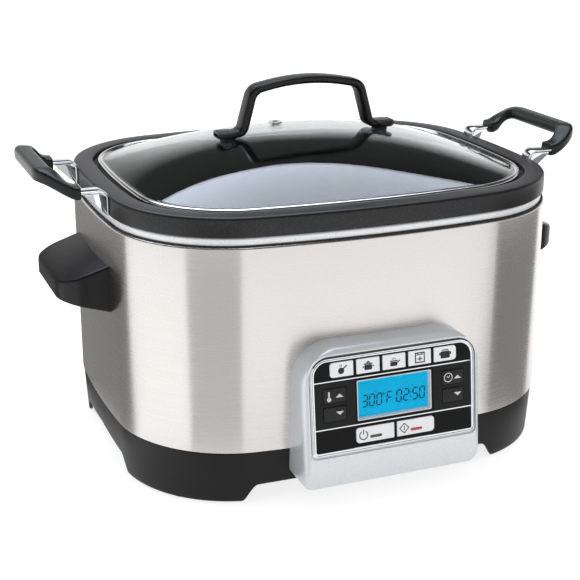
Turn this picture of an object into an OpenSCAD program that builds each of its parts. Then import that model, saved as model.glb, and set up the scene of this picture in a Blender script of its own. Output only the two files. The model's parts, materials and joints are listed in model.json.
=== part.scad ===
// Digital slow cooker: steel casing on a plastic base, lift-out cast pot, glass lid and a front control panel.
// The rear of the base rests at +Y, the control panel faces -Y. Z = 0 is the table.

/* [Casing] */
// Width of the steel casing, from side to side
casing_w = 360; // [345:1:375]
// Depth of the steel casing, from front to back
casing_d = 302; // [290:1:314]
// Radius of the bowed side faces
side_bow_r = 785; // [740:5:840]
// Radius of the bowed front and back faces
front_bow_r = 813; // [770:5:860]
// Radius of the upright corners
corner_r = 94; // [88:1:100]
// Height of the steel band
casing_h = 157; // [150:1:164]
// Thickness of the steel sheet
sheet = 0.8; // [0.6:0.1:1.2]

/* [Base] */
// Height of the plastic base
base_h = 43; // [40:1:48]
// Wall thickness of the plastic base
base_wall = 3; // [2.4:0.2:4]
// How far the base draws in at its foot
base_toe = 3; // [2:0.5:6]
// Clear height under the front and back arches
front_arch_h = 18.5; // [15:0.5:20]
// Half the width of the front and back arches
front_arch_half = 103; // [98:1:106]
// Clear height under the side arches
side_arch_h = 18; // [14:0.5:19]
// Half the width of the side arches
side_arch_half = 62; // [54:1:64]
// Radius of a rubber foot pad
pad_r = 11; // [8:0.5:13]
// Height of a rubber foot pad
pad_h = 5; // [4:0.5:7]
// How far a foot pad stands below the plastic
pad_stand = 1.6; // [1:0.2:3]
// Thickness of the bottom cover
cover_t = 2.5; // [2:0.25:3.5]
// Width of the ledge that carries the bottom cover
cover_ledge_w = 16; // [14:1:20]

/* [Side handles] */
// How far a side handle stands out from the casing
side_handle_reach = 36; // [30:1:42]
// Half the width of a side handle at the casing
side_handle_root = 50; // [46:1:54]
// Half the width of a side handle at its tip
side_handle_tip = 49; // [44:1:50]
// Radius of the rounded corners of a side handle, seen from above
side_handle_corner_r = 20; // [14:1:24]
// Height of the upper edge of a side handle at the casing
side_handle_z = 167; // [163:0.5:171]
// Fall of the upper face from casing to tip
side_handle_fall = 12; // [8:0.5:15]
// Height of a side handle's end face
side_handle_end_h = 13.2; // [11:0.2:17]
// Height of a side handle where it meets the casing
side_handle_root_h = 36.5; // [33:0.5:42]
// Wall thickness of a side handle
side_handle_wall = 3.2; // [2.6:0.2:4]

/* [Rim stack] */
// Height of the black gasket on the casing
gasket_h = 0.9; // [0.6:0.1:1.4]
// Height of the bright trim ring
trim_h = 5.5; // [4:0.5:7]
// How far the trim ring sits inside the casing outline
trim_inset = 2.9; // [2:0.1:4]
// Width of the channel from the trim ring to the well
trim_w = 16.6; // [15:0.2:18]
// Thickness of the aluminium well
well_t = 1; // [0.8:0.1:1.5]

/* [Pot] */
// Height of the pot's outer skirt
skirt_h = 14.8; // [12:0.2:18]
// Thickness of the pot's skirt and rim
skirt_t = 3; // [2.5:0.1:4]
// How far the skirt sits inside the casing outline
skirt_inset = 1; // [0.6:0.1:2]
// Width of the pot's flat rim
rim_w = 15.5; // [13:0.5:17]
// Drop from the flat rim to the lid's ledge
ledge_drop = 5.4; // [4.5:0.1:6.5]
// Width of the lid's ledge
ledge_w = 10.5; // [9:0.5:12]
// Inner depth of the pot
pot_depth = 124; // [116:1:130]
// Thickness of the pot's wall
pot_wall = 3; // [2.5:0.1:4]
// Thickness of the pot's floor
pot_floor = 4; // [3:0.5:6]
// How far the pot's outer corner is rounded in at its foot
pot_toe = 14; // [10:1:18]

/* [Pot handles] */
// Distance of a bracket from the middle of the side
bracket_y = 49; // [45:1:53]
// Width of a chrome bracket
bracket_w = 13; // [11:0.5:15]
// Thickness of a chrome bracket
bracket_t = 2; // [1.6:0.1:2.5]
// Length of the bracket's upper strap, from the skirt outwards
bracket_reach = 27; // [25:0.5:28]
// Rise of the bracket's strap above the pot's rim
bracket_rise = 5.6; // [4.5:0.1:7]
// How far the bar of a grip lies from the skirt
grip_reach = 49.5; // [46:0.5:53]
// Width of a grip's bar
grip_bar_w = 13.6; // [12:0.2:16]
// Thickness of a grip
grip_t = 10.4; // [9:0.2:12]
// Width of a grip where it holds a bracket
grip_root_w = 17; // [16.5:0.5:20]
// Rise of the grip's bar above its brackets
grip_rise = 12.5; // [9:0.5:16]
// Where the grip begins, measured from the skirt
grip_start = 18.5; // [16:0.5:20]

/* [Lid] */
// How far the lid sits inside the casing outline
lid_inset = 20.4; // [19.4:0.1:21.4]
// Width of the lid's steel rim
lid_rim_w = 4.6; // [4:0.1:5.4]
// Height of the lid's steel rim
lid_rim_h = 5.6; // [5:0.1:6.5]
// Thickness of the glass
glass_t = 4; // [3.4:0.1:4.4]
// Rise of the glass dome above its edge
dome_h = 27; // [22:0.5:32]
// Fullness of the dome: 2 is an ellipse, more is flatter on top
dome_power = 2.3; // [2:0.1:3]
// Radius of the steam vent's hole
vent_hole_r = 2.5; // [2:0.1:3.5]
// Outer radius of the steam vent's eyelet
vent_r = 6; // [5:0.5:8]

/* [Lid handle] */
// Half the length of the lid handle
lid_handle_half = 76; // [73:0.5:80]
// Distance of a handle screw from the end of its foot
lid_screw_inset = 10; // [9:0.5:12]
// Height of the lid handle above its feet
lid_handle_h = 41; // [36:0.5:48]
// Thickness of the lid handle's strap
strap_t = 5.4; // [4.4:0.2:6.5]
// Width of the lid handle's strap
strap_w = 15; // [12:0.5:18]
// Width of the lid handle's feet
lid_foot_w = 20; // [18:0.5:24]
// Height of a spacer between glass and handle
spacer_h = 1.6; // [1:0.1:2.5]

/* [Heating] */
// Radius of the aluminium heating plate
plate_r = 96; // [88:1:104]
// Thickness of the heating plate
plate_t = 8.4; // [7:0.2:10]
// Radius of the round opening under the heating plate
well_hole_r = 84; // [78:1:86]
// Radius of the heating element's ring
element_r = 68; // [62:1:74]
// Radius of the element's tube
element_tube_r = 4; // [3:0.25:5]
// Distance from the well's floor to the heat shield
shield_gap = 24; // [20:1:28]
// Radius of a heat shield post
post_r = 3; // [2.5:0.25:4]
// Radius of the temperature sensor's cap
sensor_r = 9; // [7:0.5:11]

/* [Control panel] */
// Half the width of the panel's housing at the casing
panel_half = 72.5; // [70:0.5:75]
// Height of the housing's lower edge above the table
panel_z0 = 19.5; // [17:0.5:22]
// Height of the housing's upper edge above the table
panel_z1 = 127.5; // [124:0.5:131]
// Radius of the housing's upper corners
panel_corner_r = 29; // [25:1:33]
// Lean of the panel's face, in degrees
panel_lean = 6.92; // [4:0.01:9]
// How far the face stands in front of the casing, at the face's foot
panel_out = 28.5; // [27:0.5:31]
// Height of the foot of the face above the table
face_z = 42; // [40:0.5:44]
// How far the housing's chin hangs below the fascia, along the face
chin_drop = 17; // [14:0.5:19]
// Depth of the sloping shoulder around the face
shoulder_d = 7; // [5:0.5:8]
// Wall thickness of the housing
panel_wall = 2.6; // [2:0.2:3.2]
// Half the width of the black fascia
fascia_half = 63; // [62.5:0.1:64]
// Lower edge of the fascia, along the face
fascia_s0 = 8.6; // [8:0.1:9]
// Upper edge of the fascia, along the face
fascia_s1 = 75.6; // [75.2:0.1:76.5]
// Thickness of the fascia
fascia_t = 2.5; // [2:0.1:3]
// Width of the chrome trim around the fascia
panel_trim_w = 3.6; // [3:0.1:4]
// Width of the bright lines across the fascia
line_w = 0.9; // [0.6:0.1:1.2]

/* [Buttons and display] */
// Width of a mode button
mode_w = 18.3; // [17:0.1:18.6]
// Height of a mode button
mode_h = 11; // [10:0.1:11.4]
// Pitch of the mode buttons
mode_pitch = 20.8; // [20.7:0.05:21]
// Width of an arrow button
arrow_w = 17.6; // [16:0.1:18]
// Height of an arrow button
arrow_h = 10.8; // [10:0.1:11]
// Width of the power and start buttons
wide_w = 30.4; // [28:0.1:30.6]
// Height of the power and start buttons
wide_h = 11.6; // [10.5:0.1:12]
// Travel of a button
press_travel = 0.8; // [0.4:0.1:1]
// How far a button stands out of the fascia
button_proud = 0.6; // [0.3:0.1:0.9]
// Width of the display frame
lcd_w = 60; // [56:0.5:61]
// Height of the display frame
lcd_h = 30.4; // [28:0.1:31]
// Width of the display frame's border
lcd_border = 1.1; // [0.8:0.1:1.6]
// Depth of the display behind the fascia's face
lcd_depth = 3.4; // [2.8:0.1:4]

/* [Electrics] */
// Bore of the cord gland
gland_bore_r = 4; // [3.5:0.1:4.5]
// Radius of the gland's flange
gland_flange_r = 9; // [8:0.5:11]
// Height of the cord gland above the table
gland_z = 35; // [34:0.5:36]
// Length of the power board
board_l = 96; // [80:1:104]
// Width of the power board
board_w = 62; // [54:1:70]
// Thickness of a circuit board
board_t = 1.6; // [1.2:0.1:2]

/* [Fits] */
// Gap between parts that lift or slide apart
seat_gap = 0.3; // [0.25:0.05:0.4]
// Clearance of a screw in its hole, on the radius
screw_fit = 0.1; // [0.05:0.05:0.2]
// Radius of a screw's shank
screw_r = 2; // [1.8:0.1:2.2]

/* [Hidden] */
$fn = 40;
tiny = 0.01;
far = 400;

// ---- plan outline: side arcs, corner arcs and front arcs that meet tangentially ----
half_w = casing_w / 2;
half_d = casing_d / 2;
side_c = [half_w - side_bow_r, 0];
front_c = [0, half_d - front_bow_r];
span = norm(side_c - front_c);
front_run = front_bow_r - corner_r;
side_run = side_bow_r - corner_r;
along = (pow(front_run, 2) - pow(side_run, 2) + pow(span, 2)) / (2 * span);
toward = (side_c - front_c) / span;
corner_c = front_c + along * toward + sqrt(pow(front_run, 2) - pow(along, 2)) * [toward[1], -toward[0]];
side_turn = atan2(corner_c[1] - side_c[1], corner_c[0] - side_c[0]);
front_turn = atan2(corner_c[1] - front_c[1], corner_c[0] - front_c[0]);

function arc(c, r, a0, a1, n) = [for (i = [0:n]) c + r * [cos(a0 + (a1 - a0) * i / n), sin(a0 + (a1 - a0) * i / n)]];
function rest_of(list) = [for (i = [1:len(list) - 1]) list[i]];
function quarter(inset) = concat(
    arc(side_c, side_bow_r - inset, 0, side_turn, 3),
    rest_of(arc(corner_c, corner_r - inset, side_turn, front_turn, 8)),
    rest_of(arc(front_c, front_bow_r - inset, front_turn, 90, 4)));
// Whole outline, drawn in by inset on every side, counter-clockwise
function outline(inset) = let (q = quarter(inset), n = len(q) - 1) concat(
    [for (i = [0:n - 1]) q[i]],
    [for (i = [n:-1:1]) [-q[i][0], q[i][1]]],
    [for (i = [0:n - 1]) -q[i]],
    [for (i = [n:-1:1]) [q[i][0], -q[i][1]]]);
// Arc of the side that holds a given y: [centre, radius, turn], the side face or the corner beyond it
function side_arc(y) = let (turn = asin(abs(y) / side_bow_r))
    turn <= side_turn ? [side_c, side_bow_r, turn] : [corner_c, corner_r, asin((abs(y) - corner_c[1]) / corner_r)];
// Casing surface: x of the side face at a given y, and y of the front face at a given x
function side_x(y) = let (a = side_arc(y)) a[0][0] + a[1] * cos(a[2]);
function front_y(x) = front_c[1] + sqrt(pow(front_bow_r, 2) - pow(x, 2));

module slab(inset, z0, z1) translate([0, 0, z0]) linear_extrude(z1 - z0) polygon(outline(inset));
module ring(outer, inner, z0, z1) translate([0, 0, z0]) linear_extrude(z1 - z0) difference() {
    polygon(outline(outer));
    polygon(outline(inner));
}
// Solid through a stack of plan outlines: each level is [points, z], all with as many points.
// split turns the four-sided faces into triangles, for outlines that change shape
module loft(levels, split = false) {
    n = len(levels[0][0]);
    last = len(levels) - 1;
    polyhedron(
        [for (level = levels) for (p = level[0]) [p[0], p[1], level[1]]],
        concat(
            [[for (i = [0:n - 1]) i]],
            [for (k = [0:last - 1]) for (i = [0:n - 1]) let (a = (k + 1) * n + i, b = (k + 1) * n + (i + 1) % n, c = k * n + (i + 1) % n, d = k * n + i)
                each (split ? [[a, b, c], [a, c, d]] : [[a, b, c, d]])],
            [[for (i = [n - 1:-1:0]) last * n + i]]));
}

// ---- polygons with rounded corners: each corner is [point, radius] ----
function unit(v) = v / norm(v);
function fillet(a, b, c, r, n = 6) = let (
    u = unit(a - b), v = unit(c - b),
    half = acos(max(-1, min(1, u * v))) / 2,
    mid = b + unit(u + v) * r / sin(half),
    p = b + u * r / tan(half), q = b + v * r / tan(half),
    start = atan2(p[1] - mid[1], p[0] - mid[0]),
    turn = atan2(q[1] - mid[1], q[0] - mid[0]) - start,
    sweep = turn > 180 ? turn - 360 : turn < -180 ? turn + 360 : turn)
    [for (i = [0:n]) mid + r * [cos(start + sweep * i / n), sin(start + sweep * i / n)]];
function rounded(corners) = let (n = len(corners)) [for (i = [0:n - 1])
    let (a = corners[(i + n - 1) % n][0], b = corners[i][0], c = corners[(i + 1) % n][0], r = corners[i][1])
    each (r == 0 ? [b] : fillet(a, b, c, r))];
// Rectangle from x = -half to half and y0 to y1, with its own upper and lower corner radii
function tab(half, y0, y1, r_top, r_low) =
    rounded([[[half, y0], r_low], [[half, y1], r_top], [[-half, y1], r_top], [[-half, y0], r_low]]);
module plate(w, h, z0, z1, r = 1) translate([0, 0, z0]) linear_extrude(z1 - z0) polygon(tab(w / 2, -h / 2, h / 2, r, r));

// Tube with a rounded flat section swept along a path that runs level or climbs; each step is [point, width]
sweep_sides = 12;
function heading(path, i) = let (d = path[min(i + 1, len(path) - 1)][0] - path[max(i - 1, 0)][0]) unit([d[0], d[1]]);
module flat_sweep(path, thick, squareness = 0.6) {
    n = sweep_sides;
    last = len(path) - 1;
    polyhedron(
        [for (i = [0:last]) let (d = heading(path, i), side = [d[1], -d[0]]) for (k = [0:n - 1])
            let (
                a = 360 * (k + 0.5) / n,
                c = sign(cos(a)) * pow(abs(cos(a)), squareness) * path[i][1] / 2,
                s = sign(sin(a)) * pow(abs(sin(a)), squareness) * thick / 2)
            path[i][0] + [side[0] * c, side[1] * c, s]],
        concat(
            [[for (k = [0:n - 1]) k]],
            [for (i = [0:last - 1]) for (k = [0:n - 1]) each [
                [i * n + k, (i + 1) * n + k, (i + 1) * n + (k + 1) % n],
                [i * n + k, (i + 1) * n + (k + 1) % n, i * n + (k + 1) % n]]],
            [[for (k = [n - 1:-1:0]) last * n + k]]));
}
function ease(t) = let (u = max(0, min(1, t))) u * u * (3 - 2 * u);
module both_sides() for (turn = [0, 180]) rotate([0, 0, turn]) children();
module mirrored(axis) {
    children();
    mirror(axis) children();
}
module at_corners() mirrored([1, 0, 0]) mirrored([0, 1, 0]) children();

// ---- heights, from the table up ----
casing_top = base_h + casing_h;
trim_z = casing_top + gasket_h;
trim_top = trim_z + trim_h;
skirt_z = trim_top + seat_gap;
rim_z = skirt_z + skirt_h;
ledge_z = rim_z - ledge_drop;
pot_bottom = rim_z - pot_depth - pot_floor;
plate_top = pot_bottom - seat_gap;
well_floor_top = plate_top - plate_t;
well_floor_z = well_floor_top - well_t;
shield_t = 0.8;
shield_top = well_floor_z - shield_gap;
cover_top = max(front_arch_h, side_arch_h) + 1.5 + cover_t;
cover_z = cover_top - cover_t;
ledge_t = 3;

// ---- plan insets, from the casing outline inwards ----
well_inset = trim_inset + trim_w;
pot_inset = skirt_inset + rim_w + ledge_w - pot_wall;
lip_inset = sheet + seat_gap;
lip_t = 2.2;
casing_fold = 6;
blanket_inset = 5;
cover_inset = base_toe + base_wall + 0.6;

// The model's Y origin lies midway between the chin of the panel's housing and the casing's back
front_reach = half_d + panel_out + (chin_drop - fascia_s0) * sin(panel_lean);
back_reach = half_d;
shift_y = (front_reach - back_reach) / 2;
module seat() translate([0, shift_y, 0]) children();

// ---- base ----
foot_angle = (side_turn + front_turn) / 2;
foot_wall_r = pad_r + 5;
foot_r = corner_r - base_toe - base_wall - pad_r - 2;
foot_at = corner_c + foot_r * [cos(foot_angle), sin(foot_angle)];
boss_at = corner_c + (corner_r - cover_inset - cover_ledge_w / 2 - 2) * [cos(side_turn + 14), sin(side_turn + 14)];

screw_head_r = screw_r * 1.9;
screw_head_h = 2;
arch_rise = 4;
arch_foot_r = 5;
arch_top_r = 10;
// Outline of an arch: rounded feet, steep sides and a crown that rises gently to the middle
module arch(half, h) let (foot_z = pad_stand - 0.6, side = [[half + 2.5, foot_z], [half - 6, h - arch_rise]])
    polygon(rounded([
        [[half + 9, -1], 0], [[half + 9, foot_z], 0], [side[0], arch_foot_r], [side[1], arch_top_r], [[0, h], 0],
        [[-side[1][0], side[1][1]], arch_top_r], [[-side[0][0], side[0][1]], arch_foot_r], [[-half - 9, foot_z], 0], [[-half - 9, -1], 0]]));
// How far the base's outer face sits inside the casing outline at a given height
function toe_at(z) = base_toe - (base_toe - 0.6) * (z - pad_stand) / (base_h - pad_stand);
module base_body() loft([[outline(base_toe), pad_stand], [outline(0.6), base_h]]);
module base_arches() {
    rotate([90, 0, 0]) linear_extrude(far, center = true) arch(front_arch_half, front_arch_h);
    rotate([90, 0, 90]) linear_extrude(far * 2, center = true) arch(side_arch_half, side_arch_h);
}
module base_housing() color("#2b2829") difference() {
    union() {
        difference() {
            base_body();
            loft([[outline(base_toe + base_wall), pad_stand - tiny], [outline(0.6 + base_wall), base_h + tiny]]);
        }
        ring(lip_inset, lip_inset + lip_t, base_h - 5, base_h + 6);
        // ledge that carries the bottom cover
        ring(toe_at(cover_top) + base_wall / 2, cover_inset + cover_ledge_w, cover_top, cover_top + ledge_t);
        // boss that carries the cord gland
        translate([0, gland_y, gland_z]) rotate([-90, 0, 0]) cylinder(r = gland_flange_r + 1.5, h = gland_boss_l);
        // feet
        intersection() {
            at_corners() translate([foot_at[0], foot_at[1], pad_stand]) cylinder(r = foot_wall_r, h = cover_top - pad_stand);
            base_body();
        }
    }
    base_arches();
    at_corners() translate([foot_at[0], foot_at[1], -tiny]) cylinder(r = pad_r + screw_fit, h = pad_h + tiny);
    at_corners() translate([boss_at[0], boss_at[1], cover_top - tiny]) cylinder(r = screw_r + screw_fit, h = ledge_t + 1);
    // room for the cover between the feet
    difference() {
        translate([0, 0, cover_z]) linear_extrude(cover_t) polygon(outline(cover_inset - screw_fit));
        at_corners() translate([foot_at[0], foot_at[1], 0]) cylinder(r = foot_wall_r, h = cover_top + 1);
    }
    gland_hole();
}
module foot_pads() color("#1c1c1d") at_corners()
    translate([foot_at[0], foot_at[1], 0]) cylinder(r = pad_r, h = pad_h);
vent_slots = 9;
module bottom_cover() color("#3a3839") difference() {
    slab(cover_inset, cover_z, cover_top);
    at_corners() translate([foot_at[0], foot_at[1], 0]) cylinder(r = foot_wall_r + screw_fit, h = far);
    at_corners() translate([boss_at[0], boss_at[1], 0]) cylinder(r = screw_r + screw_fit, h = far);
    for (i = [0:vent_slots - 1])
        translate([(i - (vent_slots - 1) / 2) * 12, -30, 0]) translate([-2, -22, 0]) cube([4, 44, far]);
}
module base_screws() color("#b9bcc0") at_corners() translate([boss_at[0], boss_at[1], 0]) {
    translate([0, 0, cover_z - screw_head_h]) cylinder(r = screw_head_r, h = screw_head_h);
    translate([0, 0, cover_z]) cylinder(r = screw_r, h = cover_t + ledge_t);
}

// ---- casing ----
window_half = 44;
window_z0 = base_h + 12;
window_z1 = panel_z1 - 20;
handle_screw_y = side_handle_root - 17;
handle_screw_z = side_handle_z - 16;
bezel_screw_x = panel_half - 7;
bezel_screw_z = [base_h + 16, panel_z1 - 32];
module handle_screw_spots() both_sides() for (y = [-handle_screw_y, handle_screw_y])
    translate([side_x(y), y, handle_screw_z]) rotate([0, 90, 0]) children();
module bezel_screw_spots() for (x = [-bezel_screw_x, bezel_screw_x]) for (z = bezel_screw_z)
    translate([x, -front_y(x), z]) rotate([90, 0, 0]) children();
module outer_casing() color("#c9c6c3") difference() {
    union() {
        ring(0, sheet, base_h, casing_top);
        ring(0, casing_fold, casing_top - sheet, casing_top);
    }
    translate([-window_half, -half_d - 5, window_z0]) cube([2 * window_half, 20, window_z1 - window_z0]);
    handle_screw_spots() cylinder(r = screw_r + screw_fit, h = 8, center = true);
    bezel_screw_spots() cylinder(r = screw_r + screw_fit, h = 8, center = true);
}
module casing_gasket() color("#1d1c1e") ring(1.2, casing_fold, casing_top, trim_z);
module trim_ring() color("#e4e5e6") {
    ring(trim_inset, trim_inset + 1.5, trim_z, trim_top);
    ring(trim_inset + 1.5, well_inset, trim_top - 1, trim_top);
    ring(well_inset - 1.5, well_inset, trim_z + well_t, trim_top - 1);
}

// ---- heating ----
sensor_hole_r = sensor_r + 0.6;
posts = 4;
post_ring_r = well_hole_r + 12;
module post_spots() for (i = [0:posts - 1]) rotate([0, 0, 45 + i * 360 / posts])
    translate([post_ring_r, 0, 0]) children();
module heating_well() color("#9fa2a5") difference() {
    union() {
        ring(trim_inset + 1.7, well_inset + well_t, trim_z, trim_z + well_t);
        ring(well_inset, well_inset + well_t, well_floor_z, trim_z + well_t);
        slab(well_inset, well_floor_z, well_floor_top);
    }
    translate([0, 0, well_floor_z - 1]) cylinder(r = well_hole_r, h = well_t + 2, $fn = 96);
}
module insulation_blanket() color("#d8d2bd")
    ring(blanket_inset, well_inset, well_floor_z, casing_top - casing_fold);
module heater_plate() color("#a9acb0") difference() {
    translate([0, 0, well_floor_top]) cylinder(r = plate_r, h = plate_t, $fn = 96);
    translate([0, 0, well_floor_top - 1]) cylinder(r = sensor_hole_r, h = plate_t + 2);
}
element_open = 24;
cold_end_h = 12;
element_z = well_floor_top - element_tube_r + 0.4;
module heater_tube() color("#6d6f72") intersection() {
    union() {
        translate([0, 0, element_z]) rotate([0, 0, element_open - 90]) rotate_extrude(angle = 360 - 2 * element_open, $fn = 96)
            translate([element_r, 0]) circle(r = element_tube_r);
        // cold ends that turn down to the leads
        mirrored([1, 0, 0]) rotate([0, 0, element_open - 90]) translate([element_r, 0, element_z - cold_end_h])
            cylinder(r = element_tube_r - 0.5, h = cold_end_h);
    }
    translate([-far, -far, 0]) cube([2 * far, 2 * far, well_floor_top]);
}
module heat_shield() color("#b5b7b9") difference() {
    slab(well_inset + 8, shield_top - shield_t, shield_top);
    post_spots() translate([0, 0, shield_top - 3]) cylinder(r = post_r - 1 + screw_fit, h = 4);
    lead_spots() translate([0, 0, shield_top - 3]) cylinder(r = 4, h = 4);
}
module shield_posts() color("#c2c4c6") post_spots() {
    translate([0, 0, shield_top]) cylinder(r = post_r, h = shield_gap);
    translate([0, 0, shield_top - 4]) cylinder(r = post_r - 1, h = 4);
}
sensor_travel = 2;
sensor_body_h = 9;
holder_t = 1.2;
spring_h = 8;
holder_z = well_floor_top - spring_h;
module sensor_holder() color("#b5b7b9") difference() {
    union() {
        translate([0, 0, holder_z - holder_t]) cylinder(r = sensor_r + 2, h = holder_t);
        // three legs up to the heating plate
        for (i = [0:2]) rotate([0, 0, 120 * i]) translate([sensor_hole_r + 1, -3, holder_z - holder_t])
            cube([holder_t, 6, spring_h + holder_t]);
        for (i = [0:2]) rotate([0, 0, 120 * i]) translate([sensor_r, -3, holder_z - holder_t])
            cube([sensor_hole_r + 1 - sensor_r + holder_t, 6, holder_t]);
    }
    translate([0, 0, holder_z - 2]) cylinder(r = 2, h = 4);
}
sensor_bottom = plate_top - sensor_body_h + 1;
module pot_sensor() color("#8d9093") translate([0, 0, sensor_bottom])
    cylinder(r = sensor_r, h = plate_top - sensor_bottom);
coil_turns = 4;
coil_wire = 0.8;
module sensor_spring() color("#9a9da0") {
    // stack of rings stands in for the helix
    for (i = [0:coil_turns - 1]) translate([0, 0, holder_z + coil_wire / 2 + i * (sensor_bottom - holder_z - coil_wire) / (coil_turns - 1)])
        rotate_extrude() translate([5, 0]) circle(r = coil_wire / 2, $fn = 16);
    for (side = [-1, 1]) translate([side * 5 - 0.3, -0.3, holder_z]) cube([0.6, 0.6, sensor_bottom - holder_z]);
}
fuse_at = [30, 32];
module thermal_fuse() color("#cfd1d3") translate([fuse_at[0], fuse_at[1], well_floor_top - 4.2]) {
    translate([-7, 0, 2.4]) rotate([0, 90, 0]) cylinder(r = 1.8, h = 14);
    translate([-3, -2.5, 0.4]) difference() {
        cube([6, 5, 3.8]);
        translate([-1, 2.5, 2]) rotate([0, 90, 0]) cylinder(r = 1.8, h = 8);
    }
}

// ---- electrics ----
board_at = [14, 30];
board_legs = 3;
board_top = cover_top + board_legs + board_t;
module board_leg_spots() for (x = [-1, 1]) for (y = [-1, 1])
    translate([board_at[0] + x * (board_l / 2 - 5), board_at[1] + y * (board_w / 2 - 5), 0]) children();
module power_board() color("#2f5d3a") {
    translate([board_at[0] - board_l / 2, board_at[1] - board_w / 2, board_top - board_t]) cube([board_l, board_w, board_t]);
    board_leg_spots() translate([0, 0, cover_top]) cylinder(r = 3, h = board_legs);
}
relay_size = [19, 15, 15];
relay_edge = [5, 4];
module relay() color("#20242c")
    translate([board_at[0] + board_l / 2 - relay_edge[0] - relay_size[0], board_at[1] - board_w / 2 + relay_edge[1], board_top]) cube(relay_size);
core_size = [24, 20, 4];
core_edge = [10, 9];
coil_size = [14, 14, 12];
module transformer() color("#c9b26a")
    translate([board_at[0] + board_l / 2 - core_edge[0] - core_size[0], board_at[1] + board_w / 2 - core_edge[1] - core_size[1], board_top]) {
        cube(core_size);
        translate([(core_size[0] - coil_size[0]) / 2, (core_size[1] - coil_size[1]) / 2, core_size[2]]) cube(coil_size);
    }
lead_r = 1.4;
lead_x = element_r * sin(element_open);
lead_y = -element_r * cos(element_open);
lead_run_z = board_top + lead_r + 3;
module lead_spots() for (x = [-lead_x, lead_x]) translate([x, lead_y, 0]) children();
module heater_leads() color("#b23a2f") for (x = [-lead_x, lead_x]) translate([x, lead_y, 0]) {
    translate([0, 0, lead_run_z]) cylinder(r = lead_r, h = element_z - cold_end_h - lead_run_z, $fn = 16);
    sphere_joint(lead_run_z);
    length = board_at[1] - board_w / 2 + 12 - lead_y;
    translate([0, 0, lead_run_z]) rotate([-90, 0, 0]) cylinder(r = lead_r, h = length, $fn = 16);
    translate([0, length, board_top]) cylinder(r = lead_r + 0.6, h = lead_run_z - board_top + lead_r, $fn = 16);
}
module sphere_joint(z) translate([0, 0, z]) sphere(r = lead_r, $fn = 16);
gland_boss_l = 5;
gland_y = half_d - toe_at(gland_z) - base_wall - gland_boss_l + 1;
gland_flange_t = 2.4;
module gland_hole() translate([0, gland_y - 10, gland_z]) rotate([-90, 0, 0])
    cylinder(r = gland_bore_r + 2 + screw_fit, h = 30);
module cord_gland() color("#1b1b1c") translate([0, gland_y, gland_z]) rotate([-90, 0, 0]) difference() {
    union() {
        cylinder(r = gland_bore_r + 2, h = half_d - gland_y - toe_at(gland_z));
        translate([0, 0, -gland_flange_t]) cylinder(r = gland_flange_r, h = gland_flange_t);
    }
    translate([0, 0, -10]) cylinder(r = gland_bore_r, h = 40);
}

// ---- side handles ----
// How far the handle's outline reaches in behind the casing before it is trimmed to it
handle_sunk = 12;
module handle_profile(cut = 0) {
    x0 = half_w - handle_sunk;
    x1 = half_w + side_handle_reach - cut;
    top0 = side_handle_z - cut;
    top1 = side_handle_z - side_handle_fall - cut;
    low0 = side_handle_z - side_handle_root_h - (cut > 0 ? 20 : 0);
    low1 = top1 + cut - side_handle_end_h - (cut > 0 ? 20 : 0);
    slope = side_handle_fall / side_handle_reach;
    polygon(rounded([
        [[x0, top0 + slope * handle_sunk], 0], [[x0, low0 - slope * handle_sunk], 0],
        [[x1, low1], cut > 0 ? 0 : 4], [[x1, top1], 3]]));
}
module handle_plan(cut = 0) {
    x0 = half_w - handle_sunk;
    x1 = half_w + side_handle_reach - cut;
    flare = (side_handle_root - side_handle_tip) / side_handle_reach;
    polygon(rounded([
        [[x0, -(side_handle_root + flare * handle_sunk - cut)], 0], [[x1, -(side_handle_tip - cut)], side_handle_corner_r - cut],
        [[x1, side_handle_tip - cut], side_handle_corner_r - cut], [[x0, side_handle_root + flare * handle_sunk - cut], 0]]));
}
module handle_block(cut = 0) intersection() {
    rotate([90, 0, 0]) linear_extrude(far, center = true) handle_profile(cut);
    linear_extrude(far) handle_plan(cut);
}
handle_root_t = 7;
module side_handle() difference() {
    handle_block();
    slab(0, 0, casing_top);
    difference() {
        handle_block(side_handle_wall);
        slab(-handle_root_t, 0, casing_top);
    }
    for (y = [-handle_screw_y, handle_screw_y]) translate([side_x(y) - 4, y, handle_screw_z])
        rotate([0, 90, 0]) cylinder(r = screw_r + screw_fit, h = 4 + handle_root_t - 1);
}
module side_handle_right() color("#242122") side_handle();
module side_handle_left() color("#242122") mirror([1, 0, 0]) side_handle();
module side_handle_screws() color("#b9bcc0") handle_screw_spots() {
    translate([0, 0, -sheet - screw_head_h - seat_gap]) cylinder(r = screw_head_r, h = screw_head_h);
    translate([0, 0, -sheet - seat_gap]) cylinder(r = screw_r, h = handle_root_t - 1);
}

// ---- control panel, in its own frame: X across, Y up the face, Z out of the face ----
module on_face() translate([0, -(half_d + panel_out), face_z]) rotate([90 - panel_lean, 0, 0]) children();
fascia_top_r = 10;
fascia_low_r = 1.5;
trim_top_r = fascia_top_r + panel_trim_w;
trim_low_r = 4.6;
plateau_grow = panel_trim_w + 0.6;
plateau_top_r = 16;
plateau_low_r = 9;
ledge_in = 0.6;
ledge_back = 2;
trim_proud = 0.5;
function face_tab(grow, r_top, r_low) = tab(fascia_half + grow, fascia_s0 - grow, fascia_s1 + grow, r_top, r_low);
module face_slab(grow, r_top, r_low, z0, z1) translate([0, 0, z0]) linear_extrude(z1 - z0) polygon(face_tab(grow, r_top, r_low));
// World place of a point on the face: x across, s up the face, depth behind it
function on_plane(x, s, depth) = [
    x,
    -(half_d + panel_out) + s * sin(panel_lean) + depth * cos(panel_lean),
    face_z + s * cos(panel_lean) - depth * sin(panel_lean)];
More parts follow.
